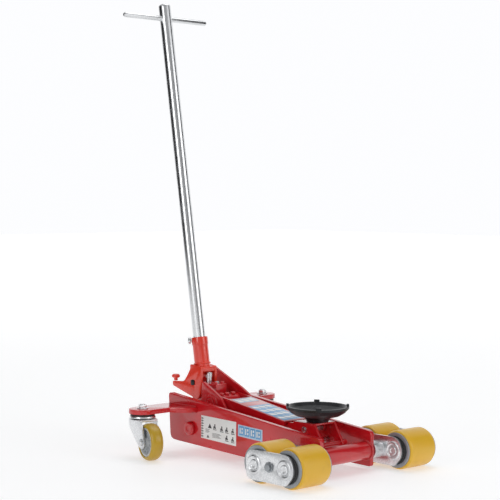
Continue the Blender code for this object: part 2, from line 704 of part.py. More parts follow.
for side, word in ((-1, "right"), (1, "left")):
    x, y = CASTER[0], side * CASTER[1]
    turn = side * CASTER_TURN
    forward = (math.cos(turn), math.sin(turn))
    centre = (x + CASTER_TRAIL * forward[0], y + CASTER_TRAIL * forward[1], CASTER_WHEEL_R)
    nut_z = OUTRIGGER_TOP_Z + GAP
    turned(
        f"caster_kingpin_{word}",
        [
            (0, 0.084), (0.006, 0.084), (0.006, nut_z), (0.0125, nut_z), (0.0125, nut_z + 0.0015),
            (0.0098, nut_z + 0.0017), (0.0098, nut_z + 0.008), (0.006, nut_z + 0.0085),
            (0.006, nut_z + 0.010),
            (0, nut_z + 0.010),
        ],
        ZINC, (x, y, 0), steps=SMALL,
    )
    turned(
        f"caster_race_{word}",
        [(0.0063, 0.0864), (0.024, 0.0864), (0.0285, 0.0880), (0.0270, 0.0967), (0.0063, 0.0967)], SEAL,
        (x, y, 0),
    )
    swivel = pivot(f"caster_{word}_axis", (x, y, 0.086))
    crown_outline = [
        *arc(0, 0, 0.030, 60, 300, 16), (0.0330, -LEG_INNER - LEG_THICK), (0.0330, LEG_INNER + LEG_THICK),
    ]
    fork = plate(
        f"caster_fork_{word}", crown_outline, FORK_THICK, ZINC, (x, y, FORK_TOP_Z - FORK_THICK / 2),
        (0, 0, turn),
        swivel, holes=[circle(0, 0, 0.0066, SMALL)],
    )
    leg_outline = rounded([
        (-0.026, FORK_TOP_Z - 0.001, 0), (-0.024, 0.066, 0.010), (CASTER_TRAIL - 0.018, 0.030, 0.008),
        (CASTER_TRAIL + 0.002, 0.024, 0.010), (CASTER_TRAIL + 0.014, 0.034, 0.010),
        (CASTER_TRAIL + 0.004, 0.060, 0.010), (0.0328, FORK_TOP_Z - 0.001, 0.004),
    ])
    legs = []
    for face in (-1, 1):
        offset = face * (LEG_INNER + LEG_THICK / 2)
        legs.append(plate(
            f"fork_leg_{word}_{face}", leg_outline, LEG_THICK, ZINC,
            (x - offset * forward[1], y + offset * forward[0], 0), (math.pi / 2, 0, turn), swivel,
        ))
    across = (math.pi / 2, 0, turn)
    axle = rod(
        f"caster_axle_{word}", 0.005, LEG_INNER + LEG_THICK + 0.005, ZINC, centre, across, swivel,
        steps=SMALL,
    )
    union(fork, *legs, axle)
    wheel = pivot(f"caster_wheel_{word}_axis", centre)
    rim_profile = [
        (0.0056, -0.0155), (0.010, -0.0155), (0.011, -0.006), (0.024, -0.005), (0.027, -0.0125),
        (0.0310, -0.0125),
        (0.0310, 0.0125), (0.027, 0.0125), (0.024, 0.005), (0.011, 0.006), (0.010, 0.0155), (0.0056, 0.0155),
    ]
    turned(f"caster_rim_{word}", rim_profile, GREY, centre, across, wheel)
    tyre_profile = [
        (0.0313, -WHEEL_HALF), (0.0360, -WHEEL_HALF), (0.0390, -0.0100), (CASTER_WHEEL_R, -0.0050),
        (CASTER_WHEEL_R, 0.0050), (0.0390, 0.0100), (0.0360, WHEEL_HALF), (0.0313, WHEEL_HALF),
    ]
    turned(f"caster_tyre_{word}", tyre_profile, TREAD, centre, across, wheel, steps=FINE)
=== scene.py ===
import math

import bmesh
import bpy
from mathutils import Euler, Matrix, Vector


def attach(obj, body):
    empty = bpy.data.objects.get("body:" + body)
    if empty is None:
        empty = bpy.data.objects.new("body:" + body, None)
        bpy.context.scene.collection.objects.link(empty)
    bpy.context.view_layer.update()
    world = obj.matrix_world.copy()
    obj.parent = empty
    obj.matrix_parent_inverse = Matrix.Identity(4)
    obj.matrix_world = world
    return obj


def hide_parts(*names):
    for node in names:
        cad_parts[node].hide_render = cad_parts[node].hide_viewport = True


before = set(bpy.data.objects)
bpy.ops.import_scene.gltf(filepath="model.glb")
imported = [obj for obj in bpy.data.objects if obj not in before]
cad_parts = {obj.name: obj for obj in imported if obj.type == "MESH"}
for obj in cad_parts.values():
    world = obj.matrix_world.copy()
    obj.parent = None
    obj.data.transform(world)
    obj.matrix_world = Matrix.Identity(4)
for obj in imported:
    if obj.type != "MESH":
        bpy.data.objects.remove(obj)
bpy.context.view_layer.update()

# ---- Camera and studio --------------------------------------------------------------------------
# A long lens looks down a little on the jack's right front corner. The floor is a wide sheet of pale
# paper under large soft boxes. Black cloths, out of the camera's sight, darken the chrome in bands.

CAMERA_PLACE = Vector((2.0414, -2.2454, 0.5814))
CAMERA_HEADING = math.radians(45.94)
CAMERA_PITCH = math.radians(-2.27)
CAMERA_ROLL = math.radians(0.38)
CAMERA_LENS = 106.4

scene = bpy.context.scene
ahead = Vector((
    -math.sin(CAMERA_HEADING) * math.cos(CAMERA_PITCH),
    math.cos(CAMERA_HEADING) * math.cos(CAMERA_PITCH),
    math.sin(CAMERA_PITCH),
))
level = Vector((math.cos(CAMERA_HEADING), math.sin(CAMERA_HEADING), 0))
above = level.cross(ahead)
across = math.cos(CAMERA_ROLL) * level + math.sin(CAMERA_ROLL) * above
upward = math.cos(CAMERA_ROLL) * above - math.sin(CAMERA_ROLL) * level
camera = bpy.data.objects.new("camera", bpy.data.cameras.new("camera"))
camera.data.lens = CAMERA_LENS
camera.data.clip_end = 50
turned_to = Matrix((across, upward, -ahead)).transposed().to_4x4()
camera.matrix_world = Matrix.Translation(CAMERA_PLACE) @ turned_to
scene.collection.objects.link(camera)
scene.camera = camera


class Signal:
    """A number in a node tree, for writing its maths as Python expressions."""

    def __init__(self, nodes, socket):
        self.nodes = nodes
        self.socket = socket

    def combined(self, operation, *sides):
        step = self.nodes.node("ShaderNodeMath", {"operation": operation}, dict(enumerate(sides)))
        return Signal(self.nodes, step.outputs[0])

    def __add__(self, other):
        return self.combined("ADD", self, other)

    __radd__ = __add__

    def __mul__(self, other):
        return self.combined("MULTIPLY", self, other)

    __rmul__ = __mul__

    def __sub__(self, other):
        return self.combined("SUBTRACT", self, other)

    def __rsub__(self, other):
        return self.combined("SUBTRACT", other, self)

    def __truediv__(self, other):
        return self.combined("DIVIDE", self, other)


class Nodes:
    """A node tree that is built one node at a time."""

    def __init__(self, tree):
        self.tree = tree

    def wire(self, socket, value):
        """Sets a socket to a value, or links another socket or a Signal to it."""
        if isinstance(value, Signal):
            value = value.socket
        if isinstance(value, bpy.types.NodeSocket):
            self.tree.links.new(value, socket)
        else:
            socket.default_value = value

    def node(self, kind, settings=None, values=None):
        made = self.tree.nodes.new(kind)
        for name, setting in (settings or {}).items():
            setattr(made, name, setting)
        for name, value in (values or {}).items():
            self.wire(made.inputs[name], value)
        return made


class Finish(Nodes):
    """A procedural material on Object coordinates."""

    def __init__(self, name, colour, roughness, metallic=0.0, coat=0.0, coat_roughness=0.03):
        self.made = bpy.data.materials.new(name)
        self.made.use_nodes = True
        self.made.diffuse_color = (*colour, 1)
        super().__init__(self.made.node_tree)
        self.shader = self.tree.nodes["Principled BSDF"]
        self.colour = (*colour, 1)
        self.set("Base Color", self.colour)
        self.set("Roughness", roughness)
        self.set("Metallic", metallic)
        self.set("Coat Weight", coat)
        self.set("Coat Roughness", coat_roughness)
        self.place = self.node("ShaderNodeTexCoord").outputs["Object"]

    def set(self, socket, value):
        self.wire(self.shader.inputs[socket], value)

    def noise(self, scale, detail=3.0, stretch=None):
        """Cloudy noise from 0 to 1, with scale in features per metre."""
        place = self.place
        if stretch:
            place = self.node("ShaderNodeMapping", values={"Vector": place, "Scale": stretch}).outputs[0]
        cloud = self.node("ShaderNodeTexNoise", values={"Vector": place, "Scale": scale, "Detail": detail})
        return Signal(self, cloud.outputs["Fac"])

    def ramp(self, signal, low, high):
        """0 below low, 1 above high, smooth between."""
        values = {"Value": signal, "From Min": low, "From Max": high}
        step = self.node("ShaderNodeMapRange", {"interpolation_type": "SMOOTHSTEP"}, values)
        return Signal(self, step.outputs[0])

    def tint(self, mask, other, base=None):
        """Mixes another colour into the base colour where the mask is 1."""
        sides = {0: mask, 6: base or self.colour, 7: (*other, 1)}
        blend = self.node("ShaderNodeMix", {"data_type": "RGBA"}, sides)
        self.set("Base Color", blend.outputs[2])
        return blend.outputs[2]

    def bump(self, height, strength, distance):
        values = {"Height": height, "Strength": strength, "Distance": distance}
        self.set("Normal", self.node("ShaderNodeBump", values=values).outputs[0])

    def edges(self, radius, low, high):
        """1 on sharp outer edges, where a finish is thin or rubbed."""
        bevel = self.node("ShaderNodeBevel", {"samples": 4}, {"Radius": radius})
        true = self.node("ShaderNodeNewGeometry")
        dot = self.node(
            "ShaderNodeVectorMath", {"operation": "DOT_PRODUCT"},
            {0: bevel.outputs[0], 1: true.outputs["Normal"]},
        )
        return self.ramp(1 - Signal(self, dot.outputs["Value"]), low, high)

ROOM_TINT = (0.98, 0.985, 1.0, 1)
DIM = 0.42
world = bpy.data.worlds.new("studio")
world.use_nodes = True
sky = Nodes(world.node_tree)
heading = sky.node("ShaderNodeTexCoord").outputs["Generated"]
shades = []
for direction, low, high in (((0, 0, 1), 0.30, 0.85), ((0.68, -0.73, 0), 0.35, 0.95)):
    facing = sky.node("ShaderNodeVectorMath", {"operation": "DOT_PRODUCT"}, {0: heading, 1: direction})
    fall = sky.node("ShaderNodeMapRange", values={
        "Value": facing.outputs["Value"], "From Min": low, "From Max": high, "To Min": 1.0, "To Max": DIM,
    })
    shades.append(Signal(sky, fall.outputs[0]))
backdrop = sky.tree.nodes["Background"]
sky.wire(backdrop.inputs["Color"], ROOM_TINT)
sky.wire(backdrop.inputs["Strength"], shades[0] * shades[1])
scene.world = world
scene.view_settings.view_transform = "Standard"


def soft_box(name, place, target, width, height, power):
    """An area light aimed at a point."""
    light = bpy.data.lights.new(name, "AREA")
    light.shape = "RECTANGLE"
    light.size = width
    light.size_y = height
    light.energy = power
    lamp = bpy.data.objects.new(name, light)
    lamp.location = place
    lamp.rotation_euler = (Vector(target) - Vector(place)).to_track_quat("-Z", "Y").to_euler()
    scene.collection.objects.link(lamp)


soft_box("overhead_box", (-0.5, 0.5, 2.4), (-0.2, 0.0, 0.0), 1.6, 1.6, 14)
soft_box("right_box", (0.2, -2.9, 1.2), (-0.2, 0.0, 0.15), 0.9, 1.8, 16)
soft_box("front_box", (2.7, 0.9, 1.2), (-0.2, 0.0, 0.2), 0.8, 1.8, 12)


def sheet(name, corners, material):
    """A flat piece of the studio that no body carries."""
    mesh = bpy.data.meshes.new(name)
    mesh.from_pydata(corners, [], [(0, 1, 2, 3)])
    mesh.materials.append(material)
    made = bpy.data.objects.new(name, mesh)
    scene.collection.objects.link(made)
    return made


FLOOR_HALF = 14.0
FLOOR_Z = -0.0004
paper = Finish("floor_paper", (0.66, 0.665, 0.67), 0.6)
paper.set("Specular IOR Level", 0.25)
paper.set("Emission Strength", 1.0)
reach = paper.node("ShaderNodeVectorMath", {"operation": "LENGTH"}, {0: paper.place})
glow = paper.node("ShaderNodeMapRange", values={
    "Value": reach.outputs["Value"], "From Min": 0.6, "From Max": 4.5, "To Min": 0.45, "To Max": 0.62,
})
paper.set("Emission Color", glow.outputs[0])
sheet("floor", [
    (x * FLOOR_HALF, y * FLOOR_HALF, FLOOR_Z) for x, y in ((-1, -1), (1, -1), (1, 1), (-1, 1))
], paper.made)

FLAG_LOW = 0.05
FLAG_HIGH = 2.6
cloth = Finish("flag_cloth", (0.012, 0.012, 0.013), 0.9)
for name, bearing, distance, width in (
    ("right_flag", 58, 2.4, 1.2), ("left_flag", 226, 2.4, 3.0), ("near_flag", -20, 3.6, 0.8),
):
    half = width / 2
    flag = sheet(name, [
        (0, -half, FLAG_LOW), (0, half, FLAG_LOW), (0, half, FLAG_HIGH), (0, -half, FLAG_HIGH),
    ], cloth.made)
    turn = math.radians(bearing)
    flag.rotation_euler.z = turn
    flag.location = (distance * math.cos(turn) - 0.4, distance * math.sin(turn), 0)
    flag.visible_camera = False

# ---- Side plates --------------------------------------------------------------------------------
# Two flat steel plates, flame cut, edges rubbed down, then sprayed with a thick glossy red enamel.
# They carry the front tube and the hydraulic block, and everything else hangs between them.


def enamel(name, colour, deep, pale):
    """Thick sprayed enamel: orange peel, a darker tone in thin places, faint dust and fine scuffs."""
    paint = Finish(name, colour, 0.28, coat=0.7, coat_roughness=0.04)
    clouds = paint.noise(9.0, 4.0)
    dust = paint.ramp(paint.noise(160.0, 5.0), 0.60, 0.80)
    scuffs = paint.ramp(paint.noise(90.0, 6.0, (1.0, 1.0, 9.0)), 0.66, 0.74)
    toned = paint.tint(paint.ramp(clouds, 0.35, 0.75) * 0.55, deep)
    paint.tint(dust * 0.03 + scuffs * 0.03, pale, toned)
    paint.set("Roughness", 0.24 + dust * 0.06 + scuffs * 0.04 + clouds * 0.08)
    paint.bump(paint.noise(380.0, 2.0), 0.035, 0.0006)
    return paint.made


RED = enamel("red_enamel", (0.60, 0.006, 0.012), (0.36, 0.002, 0.006), (0.70, 0.12, 0.12))


def rounded(corners, steps=8):
    """An outline from (x, y, corner size) triples, each corner replaced by a smooth curve."""
    points = []
    for i, (x, y, size) in enumerate(corners):
        if not size:
            points.append((x, y))
            continue
        ends = []
        for other in (corners[i - 1], corners[(i + 1) % len(corners)]):
            length = math.hypot(other[0] - x, other[1] - y)
            ends.append((x + (other[0] - x) * size / length, y + (other[1] - y) * size / length))
        for step in range(steps + 1):
            t = step / steps
            a, b, c = (1 - t) ** 2, 2 * t * (1 - t), t * t
            points.append(tuple(a * p + b * q + c * r for p, q, r in zip(ends[0], (x, y), ends[1])))
    return points


def arc(x, y, radius, start, end, steps=20):
    angles = [math.radians(start + (end - start) * i / steps) for i in range(steps + 1)]
    return [(x + radius * math.cos(a), y + radius * math.sin(a)) for a in angles]


def ring(x, y, radius, steps=40):
    return arc(x, y, radius, 0, 360, steps)[:-1]


UPRIGHT = (math.pi / 2, 0, 0)
FLAT = (0, 0, 0)


def settle(name, mesh, place, turn):
    """An object at the origin whose mesh holds its place."""
    mesh.transform(Matrix.Translation(place) @ Euler(turn).to_matrix().to_4x4())
    made = bpy.data.objects.new(name, mesh)
    scene.collection.objects.link(made)
    return made


def slab(name, outline, thick, place=(0, 0, 0), turn=UPRIGHT, holes=(), edge=0.0008):
    """A plate with bevelled edges. UPRIGHT turns its outline into X and Z."""
    curve = bpy.data.curves.new(name + "_outline", "CURVE")
    curve.dimensions = "2D"
    curve.fill_mode = "BOTH"
    curve.extrude = thick / 2
    for points in [outline, *holes]:
        spline = curve.splines.new("POLY")
        spline.points.add(len(points) - 1)
        for point, (x, y) in zip(spline.points, points):
            point.co = (x, y, 0, 1)
        spline.use_cyclic_u = True
    guide = bpy.data.objects.new(name + "_outline", curve)
    scene.collection.objects.link(guide)
    mesh = bpy.data.meshes.new_from_object(guide)
    bpy.data.objects.remove(guide)
    mesh.materials.clear()
    made = bmesh.new()
    made.from_mesh(mesh)
    bmesh.ops.remove_doubles(made, verts=made.verts, dist=1e-6)
    bmesh.ops.dissolve_limit(made, angle_limit=0.001, verts=made.verts, edges=made.edges)
    bmesh.ops.recalc_face_normals(made, faces=made.faces)
    if made.calc_volume(signed=True) < 0:
        bmesh.ops.reverse_faces(made, faces=made.faces)
    rims = [e for e in made.edges if len(e.link_faces) == 2 and e.calc_face_angle() > math.radians(60)]
    bmesh.ops.bevel(
        made, geom=rims, offset=edge, segments=3, profile=0.5, affect="EDGES", clamp_overlap=True,
    )
    made.to_mesh(mesh)
    made.free()
    mesh.shade_smooth()
    mesh.set_sharp_from_angle(angle=math.radians(35))
    return settle(name, mesh, place, turn)


def fit(piece, material, body, slot, *nodes):
    """Paints a finished piece, hangs it on its body and lets it stand for its CAD nodes."""
    piece.data.materials.clear()
    piece.data.materials.append(material)
    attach(piece, body)
    if nodes:
        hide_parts(*nodes)
    return piece


SIDES = (("right", -1), ("left", 1))
PLATE_OUTER_Y = 0.082
PLATE_INNER_Y = 0.072
AXLE_Z = 0.041
TUBE_BORE = 0.0125
ANCHOR_BORE = 0.0093
ANCHOR = (-0.380, 0.058)
side_outline = rounded([
    (-0.4460, 0.028, 0.014), (-0.418, 0.0262, 0.006), (-0.030, 0.009, 0), (0.012, 0.008, 0.004),
    (0.013, 0.082, 0.010), (-0.020, 0.0860, 0), (-0.453, 0.1315, 0.009),
])
for word, side in SIDES:
    plate = slab(
        f"side_plate_shell_{word}", side_outline, PLATE_OUTER_Y - PLATE_INNER_Y,
        (0, side * (PLATE_OUTER_Y + PLATE_INNER_Y) / 2, 0),
        holes=[ring(0, AXLE_Z, TUBE_BORE), ring(*ANCHOR, ANCHOR_BORE)], edge=0.0012,
    )
    fit(plate, RED, "frame", "red_enamel", f"side_plate_{word}")

# ---- Front tube, shaft and base plate -----------------------------------------------------------
# A thick tube is welded between the side plates at the front, and a ground shaft runs through it to
# carry the bogies. A flat plate welded between the sides at the rear carries the hydraulic block.


def metal(name, colour, dark, roughness, grain, stretch=None, spangle=0.0, metallic=1.0):
    """Bare or plated metal with grain, faint stains and darker handling marks."""
    made = Finish(name, colour, roughness, metallic=metallic)
    stains = made.ramp(made.noise(26.0, 5.0), 0.45, 0.75)
    lines = made.noise(grain, 4.0, stretch)
    toned = made.tint(stains * 0.35, dark)
    if spangle:
        cells = made.node("ShaderNodeTexVoronoi", values={"Vector": made.place, "Scale": 260.0})
        flakes = Signal(made, cells.outputs["Distance"])
        toned = made.tint(made.ramp(flakes, 0.3, 0.7) * spangle, dark, toned)
    made.set("Roughness", roughness + stains * 0.10 + lines * 0.10)
    made.bump(lines, 0.05, 0.0005)
    return made.made


def rectangle(x0, y0, x1, y1):
    return [(x0, y0), (x1, y0), (x1, y1), (x0, y1)]


def both_ends(*lower):
    """A turned profile that is alike above and below its middle, from its lower half."""
    return [*lower, *[(radius, -height) for radius, height in reversed(lower)]]


def turned(name, profile, place=(0, 0, 0), turn=FLAT, steps=96, edge=0.0006):
    """A turned piece about its own Z from (radius, height) pairs, its corners softened."""
    closed = profile[0][0] > 0 and profile[-1][0] > 0
    soft = []
    for i, (radius, height) in enumerate(profile):
        inner = closed or 0 < i < len(profile) - 1
        if not inner or radius < 1e-9:
            soft.append((radius, height))
            continue
        here = Vector((radius, height))
        sides = [Vector(profile[i - 1]) - here, Vector(profile[(i + 1) % len(profile)]) - here]
        reach = min([edge, *[side.length * 0.45 for side in sides]])
        first, last = (here + side.normalized() * reach for side in sides)
        for t in (0.0, 0.33, 0.67, 1.0):
            soft.append(tuple(first * (1 - t) ** 2 + here * (2 * t * (1 - t)) + last * t ** 2))
    made = bmesh.new()
    rings = []
    for radius, height in soft:
        if radius < 1e-9:
            rings.append([made.verts.new((0, 0, height))])
            continue
        angles = [2 * math.pi * i / steps for i in range(steps)]
        rings.append([made.verts.new((radius * math.cos(a), radius * math.sin(a), height)) for a in angles])
    pairs = list(zip(rings, rings[1:])) + ([(rings[-1], rings[0])] if closed else [])
    for low, high in pairs:
        for i in range(steps):
            j = (i + 1) % steps
            corners = [low[i % len(low)], low[j % len(low)], high[j % len(high)], high[i % len(high)]]
            made.faces.new(list(dict.fromkeys(corners)))
    bmesh.ops.recalc_face_normals(made, faces=made.faces)
    if made.calc_volume(signed=True) < 0:
        bmesh.ops.reverse_faces(made, faces=made.faces)
    mesh = bpy.data.meshes.new(name)
    made.to_mesh(mesh)
    made.free()
    mesh.shade_smooth()
    mesh.set_sharp_from_angle(angle=math.radians(40))
    return settle(name, mesh, place, turn)


STEEL = metal("bright_steel", (0.62, 0.62, 0.63), (0.36, 0.34, 0.32), 0.22, 220.0, (1.0, 12.0, 1.0))
GAP = 0.0003
tube_half = PLATE_INNER_Y - GAP
cross_tube = turned(
    "cross_tube", both_ends((TUBE_BORE, -tube_half), (0.019, -tube_half)), (0, 0, AXLE_Z), UPRIGHT,
)
fit(cross_tube, RED, "frame", "red_enamel", "front_cross_tube")
cross_shaft = turned(
    "cross_shaft", both_ends((0, -0.1145), (0.0108, -0.1145), (0.012, -0.1133)), (0, 0, AXLE_Z), UPRIGHT,
)
fit(cross_shaft, STEEL, "frame", "bright_steel", "bogie_cross_shaft")
BASE_Z = 0.036
BASE_TOP_Z = 0.044
base = slab(
    "floor_of_frame", rectangle(-0.432, -tube_half, -0.250, tube_half), BASE_TOP_Z - BASE_Z,
    (0, 0, (BASE_Z + BASE_TOP_Z) / 2), FLAT,
)
fit(base, RED, "frame", "red_enamel", "base_plate")

# ---- Weld beads ---------------------------------------------------------------------------------
# The frame is gas-shielded welded by hand and painted over: each seam shows the overlapping ripples
# of its bead, a little wider and narrower along its length.


def tree_inputs(tree, *sockets):
    """Adds a tree's named inputs from (label, kind, start) and gives back their identifiers."""
    identifiers = {}
    for label, kind, start in sockets:
        socket = tree.interface.new_socket(label, in_out="INPUT", socket_type=f"NodeSocket{kind}")
        if start is not None:
            socket.default_value = start
        identifiers[label] = socket.identifier
    return identifiers


def grown(name, guide, tree, identifiers, values):
    """The plain mesh that a Geometry Nodes tree makes of a guide mesh."""
    holder = bpy.data.objects.new(f"{name}_guide", guide)
    scene.collection.objects.link(holder)
    growth = holder.modifiers.new("growth", "NODES")
    growth.node_group = tree
    for label, value in values.items():
        growth[identifiers[label]] = value
    graph = bpy.context.evaluated_depsgraph_get()
    mesh = bpy.data.meshes.new_from_object(holder.evaluated_get(graph))
    holder.modifiers.remove(growth)
    bpy.data.objects.remove(holder)
    return mesh


bead_tree = bpy.data.node_groups.new("weld_bead", "GeometryNodeTree")
bead_inputs = tree_inputs(
    bead_tree, ("Seam", "Geometry", None), ("Radius", "Float", 0.0025), ("Ripple Spacing", "Float", 0.0022),
    ("Ripple Depth", "Float", 0.10), ("Wander", "Float", 0.25), ("Seed", "Float", 0.0),
    ("Finish", "Material", None),
)
bead_tree.interface.new_socket("Bead", in_out="OUTPUT", socket_type="NodeSocketGeometry")
STEPS_PER_RIPPLE = 6.0
NARROWEST = 0.85
bead = Nodes(bead_tree)
bead_in = bead.node("NodeGroupInput").outputs
spacing = Signal(bead, bead_in["Ripple Spacing"])
to_curve = bead.node("GeometryNodeMeshToCurve", values={"Mesh": bead_in["Seam"]})
fine_seam = bead.node("GeometryNodeResampleCurve", {"mode": "LENGTH"}, {
    "Curve": to_curve.outputs[0], "Length": spacing / STEPS_PER_RIPPLE,
})
along_seam = Signal(bead, bead.node("GeometryNodeSplineParameter").outputs["Length"])
phase = bead.node("ShaderNodeMath", {"operation": "FRACT"}, {0: along_seam / spacing})
wobble = bead.node("ShaderNodeTexNoise", {"noise_dimensions": "4D"}, {
    "Scale": 110.0, "Detail": 1.0, "W": bead_in["Seed"],
})
ripple = Signal(bead, phase.outputs[0]) * bead_in["Ripple Depth"]
width = ripple + Signal(bead, wobble.outputs[0]) * bead_in["Wander"] + NARROWEST
sized = bead.node("GeometryNodeSetCurveRadius", values={"Curve": fine_seam.outputs[0], "Radius": width})
section = bead.node("GeometryNodeCurvePrimitiveCircle", values={
    "Resolution": 10, "Radius": bead_in["Radius"],
})
swept = bead.node("GeometryNodeCurveToMesh", values={
    "Fill Caps": True, "Curve": sized.outputs[0], "Profile Curve": section.outputs[0], "Scale": width,
})
smooth_bead = bead.node("GeometryNodeSetShadeSmooth", values={0: swept.outputs[0]})
real_bead = bead.node("GeometryNodeRealizeInstances", values={0: smooth_bead.outputs[0]})
painted_bead = bead.node("GeometryNodeSetMaterial", values={
    "Geometry": real_bead.outputs[0], "Material": bead_in["Finish"],
})
bead.node("NodeGroupOutput", values={0: painted_bead.outputs[0]})


def welds(name, seams, body, radius, seed, material=RED, slot="red_enamel"):
    """Weld beads along seams, each a list of points, with one seed for the whole piece."""
    guide = bpy.data.meshes.new(f"{name}_seams")
    points = []
    edges = []
    for seam in seams:
        edges += [(i, i + 1) for i in range(len(points), len(points) + len(seam) - 1)]
        points += seam
    guide.from_pydata(points, edges, [])
    mesh = grown(name, guide, bead_tree, bead_inputs, {"Radius": radius, "Seed": seed, "Finish": material})
    made = bpy.data.objects.new(name, mesh)
    scene.collection.objects.link(made)
    return fit(made, material, body, slot)


def round_seam(x, z, radius, y, steps=36):
    """A seam right round a tube or a collar that stands on an upright face."""
    points = [(rim_x, y, rim_z) for rim_x, rim_z in ring(x, z, radius, steps)]
    return [*points, points[0]]


frame_seams = []
for word, side in SIDES:
    face = side * PLATE_INNER_Y
    frame_seams.append([(x, face, BASE_TOP_Z + 0.0008) for x in (-0.428, -0.34, -0.254)])
    frame_seams.append(round_seam(0, AXLE_Z, 0.0195, face))
welds("frame_welds", frame_seams, "frame", 0.0026, 1.0)

# ---- Inner walls --------------------------------------------------------------------------------
# Two upright plates stand on the base plate inside the sides and hold the lift arm's pivot in
# welded collars. Their rear edges rise past the pump, the left one higher.


def joined(name, *pieces):
    """Several pieces of one casting or weldment as one object."""
    made = bmesh.new()
    for piece in pieces:
        made.from_mesh(piece.data)
        bpy.data.objects.remove(piece)
    mesh = bpy.data.meshes.new(name)
    made.to_mesh(mesh)
    made.free()
    mesh.set_sharp_from_angle(angle=math.radians(35))
    return settle(name, mesh, (0, 0, 0), FLAT)


ARM_PIVOT = (-0.350, 0.115)
ARM_PIVOT_R = 0.010
PIVOT_BORE = 0.0103
WALL_INNER_Y = 0.040
WALL_THICK = 0.006
wall_low = BASE_TOP_Z + GAP
wall_seams = []
for (word, side), rear, rear_top in zip(SIDES, (-0.382, -0.436), (0.160, 0.181)):
    wall_outline = rounded([
        (-0.412, wall_low, 0), (-0.300, wall_low, 0), (-0.300, 0.100, 0.012), (-0.322, 0.129, 0.006),
        (-0.345, 0.1415, 0), (rear, rear_top, 0.006), (rear - 0.002, 0.118, 0.004), (-0.412, 0.096, 0.006),
    ])
    wall_y = side * (WALL_INNER_Y + WALL_THICK / 2)
    wall = slab(
        f"wall_plate_{word}", wall_outline, WALL_THICK, (0, wall_y, 0),
        holes=[ring(*ARM_PIVOT, ARM_PIVOT_R + GAP), ring(*ANCHOR, ANCHOR_BORE)],
    )
    collar_y = side * (WALL_INNER_Y + WALL_THICK + 0.002)
    collar = turned(
        f"collar_{word}", both_ends((PIVOT_BORE, -0.003), (0.0165, -0.003)),
        (ARM_PIVOT[0], collar_y, ARM_PIVOT[1]), UPRIGHT,
    )
    fit(joined(f"wall_{word}", wall, collar), RED, "frame", "red_enamel", f"inner_wall_{word}")
    outside = side * (WALL_INNER_Y + WALL_THICK)
    wall_seams.append([(x, outside, BASE_TOP_Z + 0.0006) for x in (-0.410, -0.36, -0.302)])
    wall_seams.append(round_seam(*ARM_PIVOT, 0.0168, outside))
welds("wall_welds", wall_seams, "frame", 0.0018, 2.0)

# ---- Arm pivot shaft and anchor bolts -----------------------------------------------------------
# A turned and painted steel shaft carries the lift arm. On each side a stout bolt with a round head
# passes through the side plate and the inner wall into the hydraulic block.

shaft_half = WALL_INNER_Y + WALL_THICK + 0.006
pivot_shaft = turned("pivot_shaft", [
    (0, -shaft_half), (0.0088, -shaft_half), (0.010, 0.0012 - shaft_half), (0.010, shaft_half - 0.0012),
    (0.0088, shaft_half), (0.003, shaft_half), (0.0022, shaft_half - 0.0016), (0, shaft_half - 0.0018),
], (ARM_PIVOT[0], 0, ARM_PIVOT[1]), UPRIGHT)
fit(pivot_shaft, RED, "frame", "red_enamel", "arm_pivot_shaft")
bolt_end = PLATE_OUTER_Y - 0.030 - GAP
for word, side in SIDES:
    bolt = turned(f"anchor_{word}", [
        (0, -bolt_end), (0.008, -bolt_end), (0.009, 0.001 - bolt_end), (0.009, GAP), (0.015, GAP),
        (0.015, 0.005), (0.012, 0.0078), (0.0055, 0.0078), (0.0050, 0.0064), (0, 0.0064),
    ], (ANCHOR[0], side * PLATE_OUTER_Y, ANCHOR[1]), (-side * math.pi / 2, 0, 0), edge=0.0010)
    fit(bolt, RED, "frame", "red_enamel", f"anchor_bolt_{word}")

# ---- Outriggers ---------------------------------------------------------------------------------
# Thick flat steel bars, flame cut and flared at the root, welded to the side plates to carry the
# casters. Each ends in a round eye for its caster's kingpin.

CASTER = (-0.4234, 0.1828)
OUTRIGGER_TOP_Z = 0.107
OUTRIGGER_THICK = 0.010
root = PLATE_OUTER_Y + GAP
outrigger_seams = []
for word, side in SIDES:
    x, y = CASTER[0], side * CASTER[1]
    bar_outline = [
        (-0.356, side * root), (-0.3572, side * (root + 0.0215)), (-0.366, side * (root + 0.036)),
        (-0.3934, side * (root + 0.048)), *arc(x, y, 0.030, 0, side * 180, 32), (-0.4534, side * root),
    ]
    if side < 0:
        bar_outline.reverse()
    bar = slab(
        f"outrigger_bar_{word}", bar_outline, OUTRIGGER_THICK,
        (0, 0, OUTRIGGER_TOP_Z - OUTRIGGER_THICK / 2), FLAT, holes=[ring(x, y, 0.0065)], edge=0.0012,
    )
    fit(bar, RED, "frame", "red_enamel", f"outrigger_{word}")
    for z in (OUTRIGGER_TOP_Z, OUTRIGGER_TOP_Z - OUTRIGGER_THICK):
        outrigger_seams.append([(x, side * (PLATE_OUTER_Y + 0.0004), z) for x in (-0.445, -0.40, -0.360)])
welds("outrigger_welds", outrigger_seams, "frame", 0.0024, 3.0)

# ---- Hydraulic block ----------------------------------------------------------------------------
# One painted iron casting: reservoir and cylinder block below, pump tower above, and two lugs in
# front that anchor the parallel link. Plugs, a valve screw and a gland are screwed into it.

